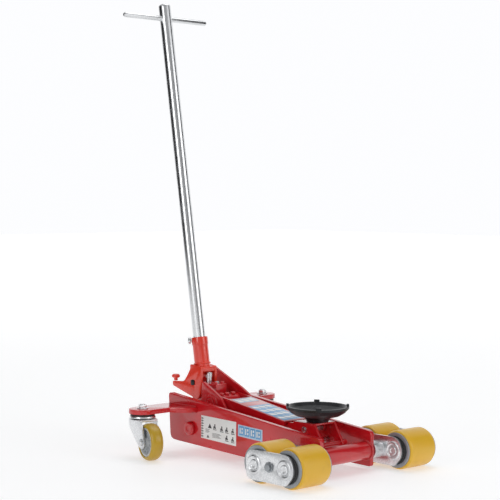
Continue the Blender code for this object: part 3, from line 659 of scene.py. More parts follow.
YOKE_PIVOT = (-0.437, 0.149)
BLOCK_REAR_X = -0.432
BLOCK_FRONT_X = -0.376
TOWER_TOP = 0.150
LINK_ANCHOR = (ARM_PIVOT[0] + 0.012, ARM_PIVOT[1] - 0.026)
RAM_Z = 0.067
PLUNGER_X = -0.409
BLOCK_TOP_Z = 0.099
PIN_BORE = 0.0063
body_of_block = slab(
    "block_body", rectangle(BLOCK_REAR_X, -0.030, BLOCK_FRONT_X, 0.030), BLOCK_TOP_Z - wall_low,
    (0, 0, (BLOCK_TOP_Z + wall_low) / 2), FLAT, edge=0.003,
)
tower = slab("block_tower", [
    (-0.447, 0.092), (BLOCK_FRONT_X - 0.001, 0.092), (-0.368, 0.131), (-0.368, TOWER_TOP),
    (-0.427, TOWER_TOP), *arc(*YOKE_PIVOT, 0.010, 20, 180),
], 0.032, holes=[ring(*YOKE_PIVOT, PIN_BORE)], edge=0.0018)
lugs = []
for side in (-1, 1):
    lugs.append(slab(f"block_lug_{side}", [
        (BLOCK_FRONT_X - 0.003, 0.081), (-0.338, 0.081), *arc(*LINK_ANCHOR, 0.008, -90, 90),
        (-0.345, 0.098), (BLOCK_FRONT_X - 0.003, 0.098),
    ], 0.006, (0, side * 0.0105, 0), holes=[ring(*LINK_ANCHOR, 0.0053)]))
SOCKET_DEPTH = 0.0018
screws = []
for x, y, z, radius, height in (
    (-0.3760, -0.0095, TOWER_TOP, 0.0042, 0.0045), (-0.3760, 0.0105, TOWER_TOP, 0.0042, 0.0045),
    (-0.3880, -0.0090, TOWER_TOP, 0.0034, 0.0032),
):
    screws.append(turned(f"valve_cap_{x}_{y}", [
        (0, -0.001), (radius, -0.001), (radius, height), (radius * 0.5, height),
        (radius * 0.42, height - SOCKET_DEPTH), (0, height - SOCKET_DEPTH),
    ], (x, y, z), steps=40))
FORWARD = (0, math.pi / 2, 0)
GLAND_BORE = 0.0133
gland_seat = turned("ram_seat", [
    (GLAND_BORE, 0.0), (0.0190, 0.0), (0.0180, 0.0012), (GLAND_BORE, 0.0012),
], (BLOCK_FRONT_X - 0.0004, 0, RAM_Z), FORWARD)
casting = joined("hydraulic_casting", body_of_block, tower, *lugs, *screws, gland_seat)
fit(casting, RED, "frame", "red_enamel", "hydraulic_block")


def hexagon(across_flats):
    return ring(0, 0, across_flats / math.sqrt(3), 6)


gland = turned(
    "gland_ring", both_ends((GLAND_BORE, -0.0025), (0.0155, -0.0025)), (BLOCK_FRONT_X + 0.0028, 0, RAM_Z),
    FORWARD,
)
fit(gland, STEEL, "frame", "bright_steel", "ram_gland")
valve = turned("valve_stem", [
    (0, -0.012), (0.006, -0.012), (0.006, 0.004), (0.004, 0.006), (0.004, 0.0115), (0.0035, 0.012),
    (0, 0.012),
], (BLOCK_REAR_X - 0.0123, 0, 0.070), (0, -math.pi / 2, 0), steps=64)
fit(valve, STEEL, "frame", "bright_steel", "release_valve")
plug_place = Vector((-0.387, 0.003, TOWER_TOP + GAP))
plug = joined(
    "plug_screw",
    turned("plug_flange", [(0, 0), (0.0065, 0), (0.0065, 0.0013), (0, 0.0013)], plug_place),
    slab("plug_hex", hexagon(0.0100), 0.0027, plug_place + Vector((0, 0, 0.00265)), FLAT, edge=0.0004),
)
fit(plug, STEEL, "frame", "bright_steel", "filler_plug")
CHROME = metal("hard_chrome", (0.74, 0.75, 0.76), (0.50, 0.51, 0.53), 0.15, 340.0, (1.0, 1.0, 0.2))
ram = turned("ram_shaft", [
    (0, -0.032), (0.012, -0.032), (0.013, -0.031), (0.013, 0.030), (0.011, 0.032), (0, 0.032),
], (-0.381, 0, RAM_Z), FORWARD)
fit(ram, CHROME, "ram_rod", "chrome", "ram_rod")
pump = turned("plunger_shaft", [
    (0, -0.019), (0.0066, -0.019), (0.007, -0.0186), (0.007, 0.0165), (0.0050, 0.019), (0, 0.019),
], (PLUNGER_X, 0, 0.1545))
fit(pump, STEEL, "pump_plunger", "bright_steel", "pump_plunger")

# ---- Lift arm -----------------------------------------------------------------------------------
# A welded box beam: two flame-cut flanks, a folded top plate between them and two short tongues at
# the front that hold the saddle bracket's pin. The ram pushes a turned bar across its heel.

HEEL = (ARM_PIVOT[0] + 0.010, ARM_PIVOT[1] - 0.048)
ARM_FRONT = (-0.080, 0.086)
ARM_NOSE = (-0.134, 0.097)
ARM_SLOPE = -0.163
WEB_REAR_X = -0.310
ARM_HALF = 0.036
ARM_WALL = 0.005


def arm_top(x):
    """Height of the arm's upper face above a point on its length."""
    return ARM_NOSE[1] + ARM_SLOPE * (x - ARM_NOSE[0])


arm_pieces = []
for side in (-1, 1):
    arm_pieces.append(slab(f"flank_{side}", [
        ARM_NOSE, (WEB_REAR_X, arm_top(WEB_REAR_X)), *arc(*ARM_PIVOT, 0.0165, 75, 180, 24),
        *arc(*HEEL, 0.0115, 180, 330, 24), (-0.322, 0.090), (-0.300, 0.103), (ARM_NOSE[0], 0.081),
    ], ARM_WALL, (0, side * (ARM_HALF - ARM_WALL / 2), 0),
        holes=[ring(*ARM_PIVOT, PIVOT_BORE), ring(*HEEL, 0.0053)], edge=0.0010))
    arm_pieces.append(slab(f"tongue_{side}", [
        (-0.200, arm_top(-0.200) - 0.002), (-0.200, 0.094), (-0.140, 0.077),
        *arc(*ARM_FRONT, 0.0085, -90, 90), (ARM_NOSE[0], arm_top(ARM_NOSE[0]) - 0.002),
    ], ARM_WALL, (0, side * (0.025 - ARM_WALL / 2), 0), holes=[ring(*ARM_FRONT, PIN_BORE)]))
arm_pieces.append(slab("arm_web", [
    (ARM_NOSE[0] + 0.0005, arm_top(ARM_NOSE[0])), (WEB_REAR_X, arm_top(WEB_REAR_X)),
    (WEB_REAR_X, arm_top(WEB_REAR_X) - 0.004), (ARM_NOSE[0] + 0.0005, arm_top(ARM_NOSE[0]) - 0.004),
], 2 * ARM_HALF - 0.003, edge=0.0006))
arm_pieces.append(turned(
    "pivot_tube", both_ends((PIVOT_BORE, -0.0306), (0.0143, -0.0306)), (ARM_PIVOT[0], 0, ARM_PIVOT[1]),
    UPRIGHT,
))
for y in (-0.019, -0.002, 0.016):
    arm_pieces.append(turned(f"grease_cap_{y}", [
        (0, 0), (0.0054, 0), (0.0054, 0.0048), (0.0040, 0.0062), (0.0022, 0.0062), (0.0018, 0.0050),
        (0, 0.0050),
    ], (ARM_PIVOT[0] + 0.003, y, ARM_PIVOT[1] + 0.0130), steps=40))
fit(joined("arm_weldment", *arm_pieces), RED, "lift_arm", "red_enamel", "lift_arm")
arm_seams = []
for side in (-1, 1):
    y = side * (ARM_HALF - ARM_WALL)
    along_web = (WEB_REAR_X + 0.003, -0.22, ARM_NOSE[0] - 0.003)
    arm_seams.append([(x, y, arm_top(x) - 0.0045) for x in along_web])
    arm_seams.append([(ARM_NOSE[0], side * y, ARM_NOSE[1] - 0.001) for y in (0.0255, 0.0325)])
welds("arm_welds", arm_seams, "lift_arm", 0.0016, 4.0)
heel_half = ARM_HALF - ARM_WALL - GAP
heel_end = ARM_HALF + 0.001
heel = turned("heel_roll", both_ends(
    (0, -heel_end), (0.005, -heel_end), (0.005, -heel_half), (0.008, -heel_half),
), (HEEL[0], 0, HEEL[1]), UPRIGHT)
fit(heel, STEEL, "lift_arm", "bright_steel", "heel_bar")


def pin(name, radius, half, x, z, body, node):
    """A turned pin across the jack with a chamfer and a split-pin groove at each end."""
    made = turned(name, both_ends(
        (0, -half), (radius - 0.001, -half), (radius, 0.001 - half), (radius, 0.0022 - half),
        (radius * 0.88, 0.0024 - half), (radius * 0.88, 0.0030 - half), (radius, 0.0032 - half),
    ), (x, 0, z), UPRIGHT, steps=64, edge=0.0001)
    return fit(made, STEEL, body, "bright_steel", node)


pin("front_pin", 0.006, 0.035, *ARM_FRONT, "lift_arm", "arm_front_pin")

# ---- Parallel link ------------------------------------------------------------------------------
# A flat steel bar with rounded eyes, under the arm and painted like it. It turns on a pin in the
# block's lugs and keeps the saddle level while the arm swings.

LINK_FRONT = (ARM_FRONT[0] + 0.012, ARM_FRONT[1] - 0.026)
along = math.degrees(math.atan2(LINK_FRONT[1] - LINK_ANCHOR[1], LINK_FRONT[0] - LINK_ANCHOR[0]))
link = slab("link_bar", [
    *arc(*LINK_ANCHOR, 0.0078, along + 50, along + 310),
    *arc(*LINK_FRONT, 0.0095, along - 130, along + 130),
], 0.013, holes=[ring(*LINK_ANCHOR, 0.0053), ring(*LINK_FRONT, 0.0064)], edge=0.0010)
fit(link, RED, "parallel_link", "red_enamel", "parallel_link")
pin("anchor_pin", 0.005, 0.0145, *LINK_ANCHOR, "parallel_link", "link_anchor_pin")

# ---- Saddle bracket -----------------------------------------------------------------------------
# Two tapering steel legs and a top plate, cut, welded and painted, with a round bar across the front
# of the legs. It hangs on the arm's front pin and on the link's.

BRACKET_TOP_Z = 0.1005
BRACKET_HALF = 0.032
SADDLE_X = -0.072
LEG_WALL = 0.005
bracket_pieces = [slab(
    "bracket_top", rectangle(-0.112, 0.001 - BRACKET_HALF, -0.051, BRACKET_HALF - 0.001), 0.004,
    (0, 0, BRACKET_TOP_Z - 0.002), FLAT, holes=[ring(SADDLE_X, 0, 0.0084)],
)]
leg_outline = rounded([
    (-0.1115, BRACKET_TOP_Z, 0), (-0.1115, 0.084, 0.006), (-0.086, 0.050, 0.006),
    (-0.031, 0.047, 0.005), (-0.0235, 0.055, 0.004), (-0.0515, BRACKET_TOP_Z, 0),
])
for side in (-1, 1):
    bracket_pieces.append(slab(
        f"bracket_leg_{side}", leg_outline, LEG_WALL, (0, side * (BRACKET_HALF - LEG_WALL / 2), 0),
        holes=[ring(*ARM_FRONT, PIN_BORE), ring(*LINK_FRONT, PIN_BORE)],
    ))
bracket_pieces.append(turned(
    "bracket_bar", both_ends((0, -0.0415), (0.005, -0.0415), (0.006, -0.0405)), (-0.035, 0.0055, 0.057),
    UPRIGHT, steps=64,
))
fit(joined("bracket_weldment", *bracket_pieces), RED, "saddle_bracket", "red_enamel", "saddle_bracket")
bracket_seams = []
for side in (-1, 1):
    y = side * (BRACKET_HALF - LEG_WALL)
    bracket_seams.append([(x, y, BRACKET_TOP_Z - 0.0042) for x in (-0.109, -0.08, -0.054)])
    bracket_seams.append(round_seam(-0.035, 0.057, 0.0062, side * BRACKET_HALF, 24))
welds("bracket_welds", bracket_seams, "saddle_bracket", 0.0014, 5.0)
pin("link_pin", 0.006, 0.034, *LINK_FRONT, "saddle_bracket", "link_front_pin")

# ---- Saddle -------------------------------------------------------------------------------------
# A round iron dish, cast and turned, black-phosphated, with four square lugs on its rim that grip a
# car's sill. It turns freely on a stem in the bracket's top plate.

IRON = Finish("saddle_iron", (0.020, 0.021, 0.024), 0.45, metallic=0.55, coat=0.15)
grain = IRON.noise(300.0, 4.0)
rubbed = IRON.edges(0.0012, 0.04, 0.30)
marks = IRON.ramp(IRON.noise(70.0, 6.0, (3.0, 1.0, 1.0)), 0.60, 0.72)
worn = IRON.tint(rubbed * 0.45 + marks * 0.20, (0.17, 0.17, 0.18))
IRON.tint(IRON.ramp(IRON.noise(500.0, 2.0), 0.62, 0.75) * 0.18, (0.30, 0.30, 0.29), worn)
IRON.set("Roughness", 0.34 + grain * 0.22 - rubbed * 0.12)
IRON.bump(grain, 0.25, 0.0008)
NECK_Z = BRACKET_TOP_Z + GAP
DISH_Z = 0.1205
RIM_Z = 0.1335
RIM_R = 0.0664
grooves = []
for radius in (0.034, 0.024, 0.014):
    for out, deep in ((0.0008, 0), (0.0004, 0.0005), (-0.0004, 0.0005), (-0.0008, 0)):
        grooves.append((radius + out, DISH_Z - deep))
dish = turned("dish", [
    (0, 0.0925), (0.0072, 0.0925), (0.008, 0.0933), (0.008, NECK_Z), (0.023, NECK_Z), (0.0245, 0.1055),
    (0.030, 0.1105), (0.047, 0.1140), (0.058, 0.1205), (0.0655, 0.1285), (RIM_R, RIM_Z - 0.001),
    (RIM_R - 0.001, RIM_Z), (0.0600, RIM_Z), (0.0555, 0.1265), (0.040, DISH_Z), *grooves, (0, DISH_Z),
], (SADDLE_X, 0, 0), steps=128, edge=0.0008)
saddle_pieces = [dish]
for quarter in range(4):
    lug = slab(f"lug_{quarter}", rectangle(0.0605, -0.006, 0.0659, 0.006), 0.0100, turn=FLAT, edge=0.0009)
    turn = Matrix.Rotation(math.radians(45 + 90 * quarter), 4, "Z")
    lug.data.transform(Matrix.Translation((SADDLE_X, 0, 0.1330)) @ turn)
    saddle_pieces.append(lug)
fit(joined("saddle_casting", *saddle_pieces), IRON.made, "saddle", "saddle_iron", "saddle")

# ---- Handle yoke --------------------------------------------------------------------------------
# Two cut cheeks, a crown and a drilled socket, welded and sprayed orange-red. The right cheek runs
# back as a foot pedal with a mushroom knob. A chromed screw in the socket's collar locks the handle.

ORANGE = enamel("orange_enamel", (0.86, 0.042, 0.016), (0.62, 0.020, 0.008), (0.86, 0.22, 0.14))
LEAN = math.radians(9.5)
LEANING = (0, -LEAN, 0)
HANDLE_FOOT = (-0.4317, 0.187)


def on_handle(distance):
    """A point on the handle's centre line, so far above its foot."""
    x, z = HANDLE_FOOT
    return Vector((x - distance * math.sin(LEAN), 0, z + distance * math.cos(LEAN)))


YOKE_OUTER = 0.024
YOKE_WALL = 0.006
right_cheek = rounded([
    (-0.506, 0.1465, 0.003), (-0.506, 0.1365, 0.004), (-0.421, 0.1115, 0.006), (-0.411, 0.129, 0.006),
    (-0.4095, 0.158, 0.003), (-0.4095, 0.186, 0.004), (-0.4465, 0.190, 0.004),
    (-0.4465, 0.179, 0.004), (-0.458, 0.161, 0.006), (-0.468, 0.149, 0.006),
])
left_cheek = rounded([
    (-0.452, 0.137, 0.008), (-0.421, 0.1115, 0.008), (-0.411, 0.129, 0.006), (-0.4095, 0.158, 0.003),
    (-0.4095, 0.186, 0.004), (-0.4465, 0.190, 0.004), (-0.4465, 0.179, 0.004),
    (-0.458, 0.158, 0.006),
])
yoke_pieces = []
for side, outline in ((-1, right_cheek), (1, left_cheek)):
    yoke_pieces.append(slab(
        f"cheek_{side}", outline, YOKE_WALL, (0, side * (YOKE_OUTER - YOKE_WALL / 2), 0),
        holes=[ring(*YOKE_PIVOT, PIN_BORE)], edge=0.0010,
    ))
yoke_pieces.append(slab("crown", rounded([
    (-0.4460, 0.1890, 0.003), (-0.4460, 0.1700, 0.003), (-0.4190, 0.1660, 0.002), (-0.4180, 0.1745, 0),
    (-0.4100, 0.1745, 0.002), (-0.4100, 0.1855, 0.003),
]), 2 * YOKE_OUTER - 0.002, edge=0.0012))
yoke_pieces.append(turned("socket", [
    (0, -0.008), (0.0175, -0.008), (0.0175, 0.046), (0.0185, 0.047), (0.0185, 0.064), (0.0143, 0.064),
    (0.0143, 0.006), (0, 0.006),
], on_handle(0), LEANING, edge=0.0010))
fit(joined("yoke_weldment", *yoke_pieces), ORANGE, "handle_yoke", "orange_enamel", "handle_yoke")
tilt = Euler(LEANING).to_matrix()
foot_ring = [on_handle(0.0045) + tilt @ Vector((x, y, 0)) for x, y in ring(0, 0, 0.0178, 48)]
foot_seam = [tuple(spot) for spot in [*foot_ring, foot_ring[0]]]
welds("yoke_welds", [foot_seam], "handle_yoke", 0.0020, 6.0, ORANGE, "orange_enamel")
screw_turn = (0, -math.pi / 2, math.radians(42))
screw_head = turned("screw_head", [
    (0, 0.015), (0.004, 0.015), (0.004, 0.0205), (0.0085, 0.0205), (0.0085, 0.0245), (0.0065, 0.0265),
    (0.0030, 0.0265), (0.0026, 0.0250), (0, 0.0250),
], on_handle(0.0555), screw_turn, steps=64)
fit(screw_head, CHROME, "handle_yoke", "chrome", "lock_screw")
# Each end of the pivot pin carries a thin dark square plate. Its dark colour is painted shade, standing in
# for the shaded square recess in the pin's end.
SQUARE_TURN = (math.pi / 2, math.radians(38), 0)
pivot_end = YOKE_OUTER + 0.0019
pivot_pieces = [turned("pivot_core", both_ends(
    (0, -pivot_end), (0.0038, -pivot_end), (0.006, -YOKE_OUTER),
), (YOKE_PIVOT[0], 0, YOKE_PIVOT[1]), UPRIGHT, steps=64)]
for face in (-1, 1):
    square_place = (YOKE_PIVOT[0], face * (YOKE_OUTER + 0.0009), YOKE_PIVOT[1])
    pivot_pieces.append(slab(
        f"pivot_square_{face}", ring(0, 0, 0.0078, 4), 0.0016, square_place, SQUARE_TURN, edge=0.0004,
    ))
pivot_bolt = joined("pivot_bolt", *pivot_pieces)
fit(pivot_bolt, IRON.made, "handle_yoke", "saddle_iron", "yoke_pivot_pin")
knob = turned("knob", [
    (0, 0), (0.0045, 0), (0.0045, 0.005), (0.0095, 0.0075), (0.0100, 0.0110), (0.0070, 0.0145), (0, 0.0155),
], (-0.4985, 0.0030 - YOKE_OUTER, 0.1480), steps=64, edge=0.0016)
fit(knob, ORANGE, "handle_yoke", "orange_enamel", "pedal_knob")

# ---- Handle -------------------------------------------------------------------------------------
# A long chromed tube closed with a domed cap, and a thinner chromed bar pushed through its top as a
# grip. Both are polished before plating, so they mirror the room.

HANDLE_R = 0.014
HANDLE_TOP = 0.831
tube = turned("tube", [
    (0, HANDLE_TOP - 0.0025), (0.0115, HANDLE_TOP - 0.0025), (0.0115, 0.0065), (HANDLE_R, 0.0065),
    (HANDLE_R, HANDLE_TOP), (0.0130, HANDLE_TOP + 0.003), (0.0090, HANDLE_TOP + 0.0055),
    (0, HANDLE_TOP + 0.0065),
], on_handle(0), LEANING, edge=0.0012)
fit(tube, CHROME, "handle", "chrome", "handle_tube")
grip = turned(
    "grip", both_ends((0, -0.125), (0.0036, -0.1242), (0.006, -0.121)), on_handle(0.802), UPRIGHT,
    steps=64, edge=0.0012,
)
fit(grip, CHROME, "handle", "chrome", "tbar")

# ---- Roller bogies ------------------------------------------------------------------------------
# Each bogie is a pair of pressed and galvanised link plates with dished bosses round its axles. It
# rocks on the cross shaft. Between the plates run two polyurethane rollers on iron cores.

ZINC = metal("zinc", (0.86, 0.87, 0.88), (0.42, 0.43, 0.45), 0.24, 150.0, spangle=0.28)
CORE = metal("core_iron", (0.36, 0.38, 0.40), (0.16, 0.17, 0.18), 0.38, 200.0, metallic=0.8)
SEAL = Finish("seal", (0.012, 0.012, 0.013), 0.5)
SEAL.set("Roughness", 0.40 + SEAL.noise(300.0) * 0.25)
SEAL.bump(SEAL.noise(600.0), 0.12, 0.0004)
ROLLER_X = 0.04235
ROLLER_Y = 0.1616
LINK_Y = 0.0495
LINK_THICK = 0.006
AXLE_BORE = 0.0103
WASHER_Y = 0.0454
link_outline = rounded([
    (-0.064, 0.013, 0.010), (-0.052, 0.010, 0), (0.046, 0.009, 0.006), (0.064, 0.028, 0.008),
    (0.066, 0.044, 0.008), (0.056, 0.066, 0.010), (0.040, 0.070, 0.006), (-0.054, 0.070, 0.010),
    (-0.066, 0.058, 0.010),
])
plate_face = LINK_Y + LINK_THICK / 2


def pressing(name, x, y, side):
    """A dished boss pressed round an axle's hole: a raised ring with a shallow groove in it."""
    hole, radius = 0.0106, 0.0205
    return turned(name, [
        (hole, -0.0004), (radius, -0.0004), (radius - 0.0012, 0.0010), (radius - 0.0030, 0.0024),
        (radius - 0.0052, 0.0026), (radius - 0.0076, 0.0004), (hole, 0.0004),
    ], (x, y, AXLE_Z), (-side * math.pi / 2, 0, 0), edge=0.0006)


for word, side in SIDES:
    for reach, pivot_hole in (("inner", 0.0124), ("outer", 0.0054)):
        facing = side if reach == "outer" else -side
        y = side * ROLLER_Y + facing * LINK_Y
        holes = [ring(x, AXLE_Z, AXLE_BORE) for x in (-ROLLER_X, ROLLER_X)]
        pieces = [slab(
            f"link_plate_{reach}_{word}", link_outline, LINK_THICK, (0, y, 0),
            holes=[*holes, ring(0, AXLE_Z, pivot_hole)], edge=0.0014,
        )]
        for x in (-ROLLER_X, ROLLER_X):
            face_y = y + facing * LINK_THICK / 2
            pieces.append(pressing(f"boss_{reach}_{word}_{x}", x, face_y, facing))
        if reach == "inner":
            start = PLATE_OUTER_Y + GAP
            end = ROLLER_Y - LINK_Y - LINK_THICK / 2 + 0.001
            half = (end - start) / 2
            pieces.append(turned(f"hub_{word}", [
                (0.0124, -half), (0.0175, -half), (0.0185, 0.001 - half), (0.0185, half), (0.0124, half),
            ], (0, side * (start + half), AXLE_Z), UPRIGHT))
        link = joined(f"link_{reach}_{word}", *pieces)
        fit(link, ZINC, f"bogie_{word}", "zinc", f"bogie_{reach}_plate_{word}")
    bolt_place = (0, side * (ROLLER_Y + plate_face), AXLE_Z)
    bolt_turn = (-side * math.pi / 2, 0, 0)
    bolt = joined(
        f"centre_bolt_{word}",
        turned(f"bolt_shank_{word}", [
            (0, -0.006), (0.005, -0.006), (0.005, GAP), (0.0105, GAP), (0.0105, 0.0017), (0.0080, 0.0019),
            (0, 0.0019),
        ], bolt_place, bolt_turn, steps=64, edge=0.0003),
        slab(
            f"bolt_head_{word}", hexagon(0.0140), 0.0048,
            (0, side * (ROLLER_Y + plate_face + 0.0043), AXLE_Z), bolt_turn, edge=0.0007,
        ),
    )
    fit(bolt, CORE, f"bogie_{word}", "zinc", f"bogie_centre_bolt_{word}")
    for x, place in ((-ROLLER_X, "rear"), (ROLLER_X, "front")):
        half = plate_face + 0.0025
        inset = 0.0012 - half
        axle = turned(f"axle_{place}_{word}", both_ends(
            (0, inset), (0.0045, inset), (0.0058, -half), (0.0086, -half), (0.010, inset),
        ), (x, side * ROLLER_Y, AXLE_Z), UPRIGHT, steps=64, edge=0.0004)
        fit(axle, ZINC, f"bogie_{word}", "zinc", f"roller_axle_{place}_{word}")
        for face in (-1, 1):
            washer = turned(
                f"dust_washer_{place}_{word}_{face}", both_ends((AXLE_BORE, -0.0008), (0.0295, -0.0008)),
                (x, side * ROLLER_Y + face * WASHER_Y, AXLE_Z), UPRIGHT, edge=0.0002,
            )
            fit(washer, SEAL.made, f"bogie_{word}", "seal")

# ---- Rollers ------------------------------------------------------------------------------------
# Turned iron cores with pressed-in bearings, cast round with golden polyurethane. Floor dust and
# rolling scuffs dull the tread.


def urethane(name, colour, dark, pale):
    """Cast polyurethane: slightly clear, dusty, with rolling scuffs."""
    made = Finish(name, colour, 0.36, coat=0.12, coat_roughness=0.2)
    made.set("Subsurface Weight", 0.10)
    made.set("Subsurface Radius", (0.004, 0.002, 0.0006))
    soot = made.ramp(made.noise(34.0, 5.0), 0.50, 0.85)
    toned = made.tint(soot * 0.30, dark)
    made.tint(made.ramp(made.noise(240.0, 4.0), 0.60, 0.80) * 0.22, pale, toned)
    made.set("Roughness", 0.32 + soot * 0.20)
    made.bump(made.noise(180.0, 5.0), 0.10, 0.0006)
    return made.made


GOLD = urethane("tread", (0.76, 0.44, 0.022), (0.46, 0.24, 0.016), (0.84, 0.56, 0.12))
CORE_HALF = 0.044
TREAD_HALF = 0.0405
ROLLER_R = 0.041
core_profile = both_ends(
    (0.0104, -CORE_HALF), (0.0160, -CORE_HALF), (0.0164, 0.0012 - CORE_HALF), (0.0178, 0.0020 - CORE_HALF),
    (0.0262, 0.0020 - CORE_HALF), (0.0275, -CORE_HALF), (0.0362, -CORE_HALF), (0.0370, 0.0008 - CORE_HALF),
    (0.0370, 0.0030 - CORE_HALF), (0.0330, 0.0031 - CORE_HALF),
)
tread_profile = both_ends(
    (0.0333, -TREAD_HALF), (0.0362, -TREAD_HALF), (0.0392, 0.0012 - TREAD_HALF),
    (ROLLER_R, 0.0048 - TREAD_HALF),
)
for word, side in SIDES:
    for x, place in ((-ROLLER_X, "rear"), (ROLLER_X, "front")):
        centre = (x, side * ROLLER_Y, AXLE_Z)
        body = f"roller_{place}_{word}"
        core = turned(f"core_{place}_{word}", core_profile, centre, UPRIGHT, edge=0.0004)
        fit(core, CORE, body, "core_iron", f"roller_core_{place}_{word}")
        tread = turned(f"urethane_{place}_{word}", tread_profile, centre, UPRIGHT, steps=128, edge=0.0016)
        fit(tread, GOLD, body, "tread", f"roller_tread_{place}_{word}")

# ---- Casters ------------------------------------------------------------------------------------
# Stock swivel casters: a pressed and galvanised fork under a black sealed ball race, held by a
# kingpin and nut through the outrigger. The rim is pale grey nylon with moulded ribs.

RIM = Finish("rim_nylon", (0.55, 0.57, 0.58), 0.42)
grime = RIM.ramp(RIM.noise(45.0, 5.0), 0.48, 0.80)
RIM.tint(grime * 0.45, (0.24, 0.24, 0.23))
RIM.set("Roughness", 0.36 + grime * 0.25)
RIM.bump(RIM.noise(380.0), 0.08, 0.0004)
OCHRE = urethane("tyre", (0.50, 0.315, 0.016), (0.26, 0.16, 0.012), (0.62, 0.44, 0.10))

rib_tree = bpy.data.node_groups.new("rim_ribs", "GeometryNodeTree")
rib_inputs = tree_inputs(
    rib_tree, ("Count", "Int", 12), ("Middle Radius", "Float", 0.0175),
    ("Size", "Vector", (0.0130, 0.0016, 0.0040)), ("Finish", "Material", None),
)
rib_tree.interface.new_socket("Ribs", in_out="OUTPUT", socket_type="NodeSocketGeometry")
web = Nodes(rib_tree)
rib_in = web.node("NodeGroupInput").outputs
hoop = web.node("GeometryNodeMeshCircle", values={
    "Vertices": rib_in["Count"], "Radius": rib_in["Middle Radius"],
})
outward = web.node("FunctionNodeAlignEulerToVector", values={
    "Vector": web.node("GeometryNodeInputPosition").outputs[0],
})
spread = web.node("GeometryNodeInstanceOnPoints", values={
    "Points": hoop.outputs[0], "Rotation": outward.outputs[0],
    "Instance": web.node("GeometryNodeMeshCube", values={"Size": rib_in["Size"]}).outputs["Mesh"],
})
real_ribs = web.node("GeometryNodeRealizeInstances", values={0: spread.outputs[0]})
rib_finish = web.node("GeometryNodeSetMaterial", values={
    "Geometry": real_ribs.outputs[0], "Material": rib_in["Finish"],
})
web.node("NodeGroupOutput", values={0: rib_finish.outputs[0]})


def ribs(name, place, turn, lift):
    """A ring of moulded ribs standing on one face of a rim's web."""
    guide = bpy.data.meshes.new(f"{name}_points")
    mesh = grown(name, guide, rib_tree, rib_inputs, {"Count": 12, "Finish": RIM.made})
    mesh.transform(Matrix.Translation((0, 0, lift)))
    return settle(name, mesh, place, turn)


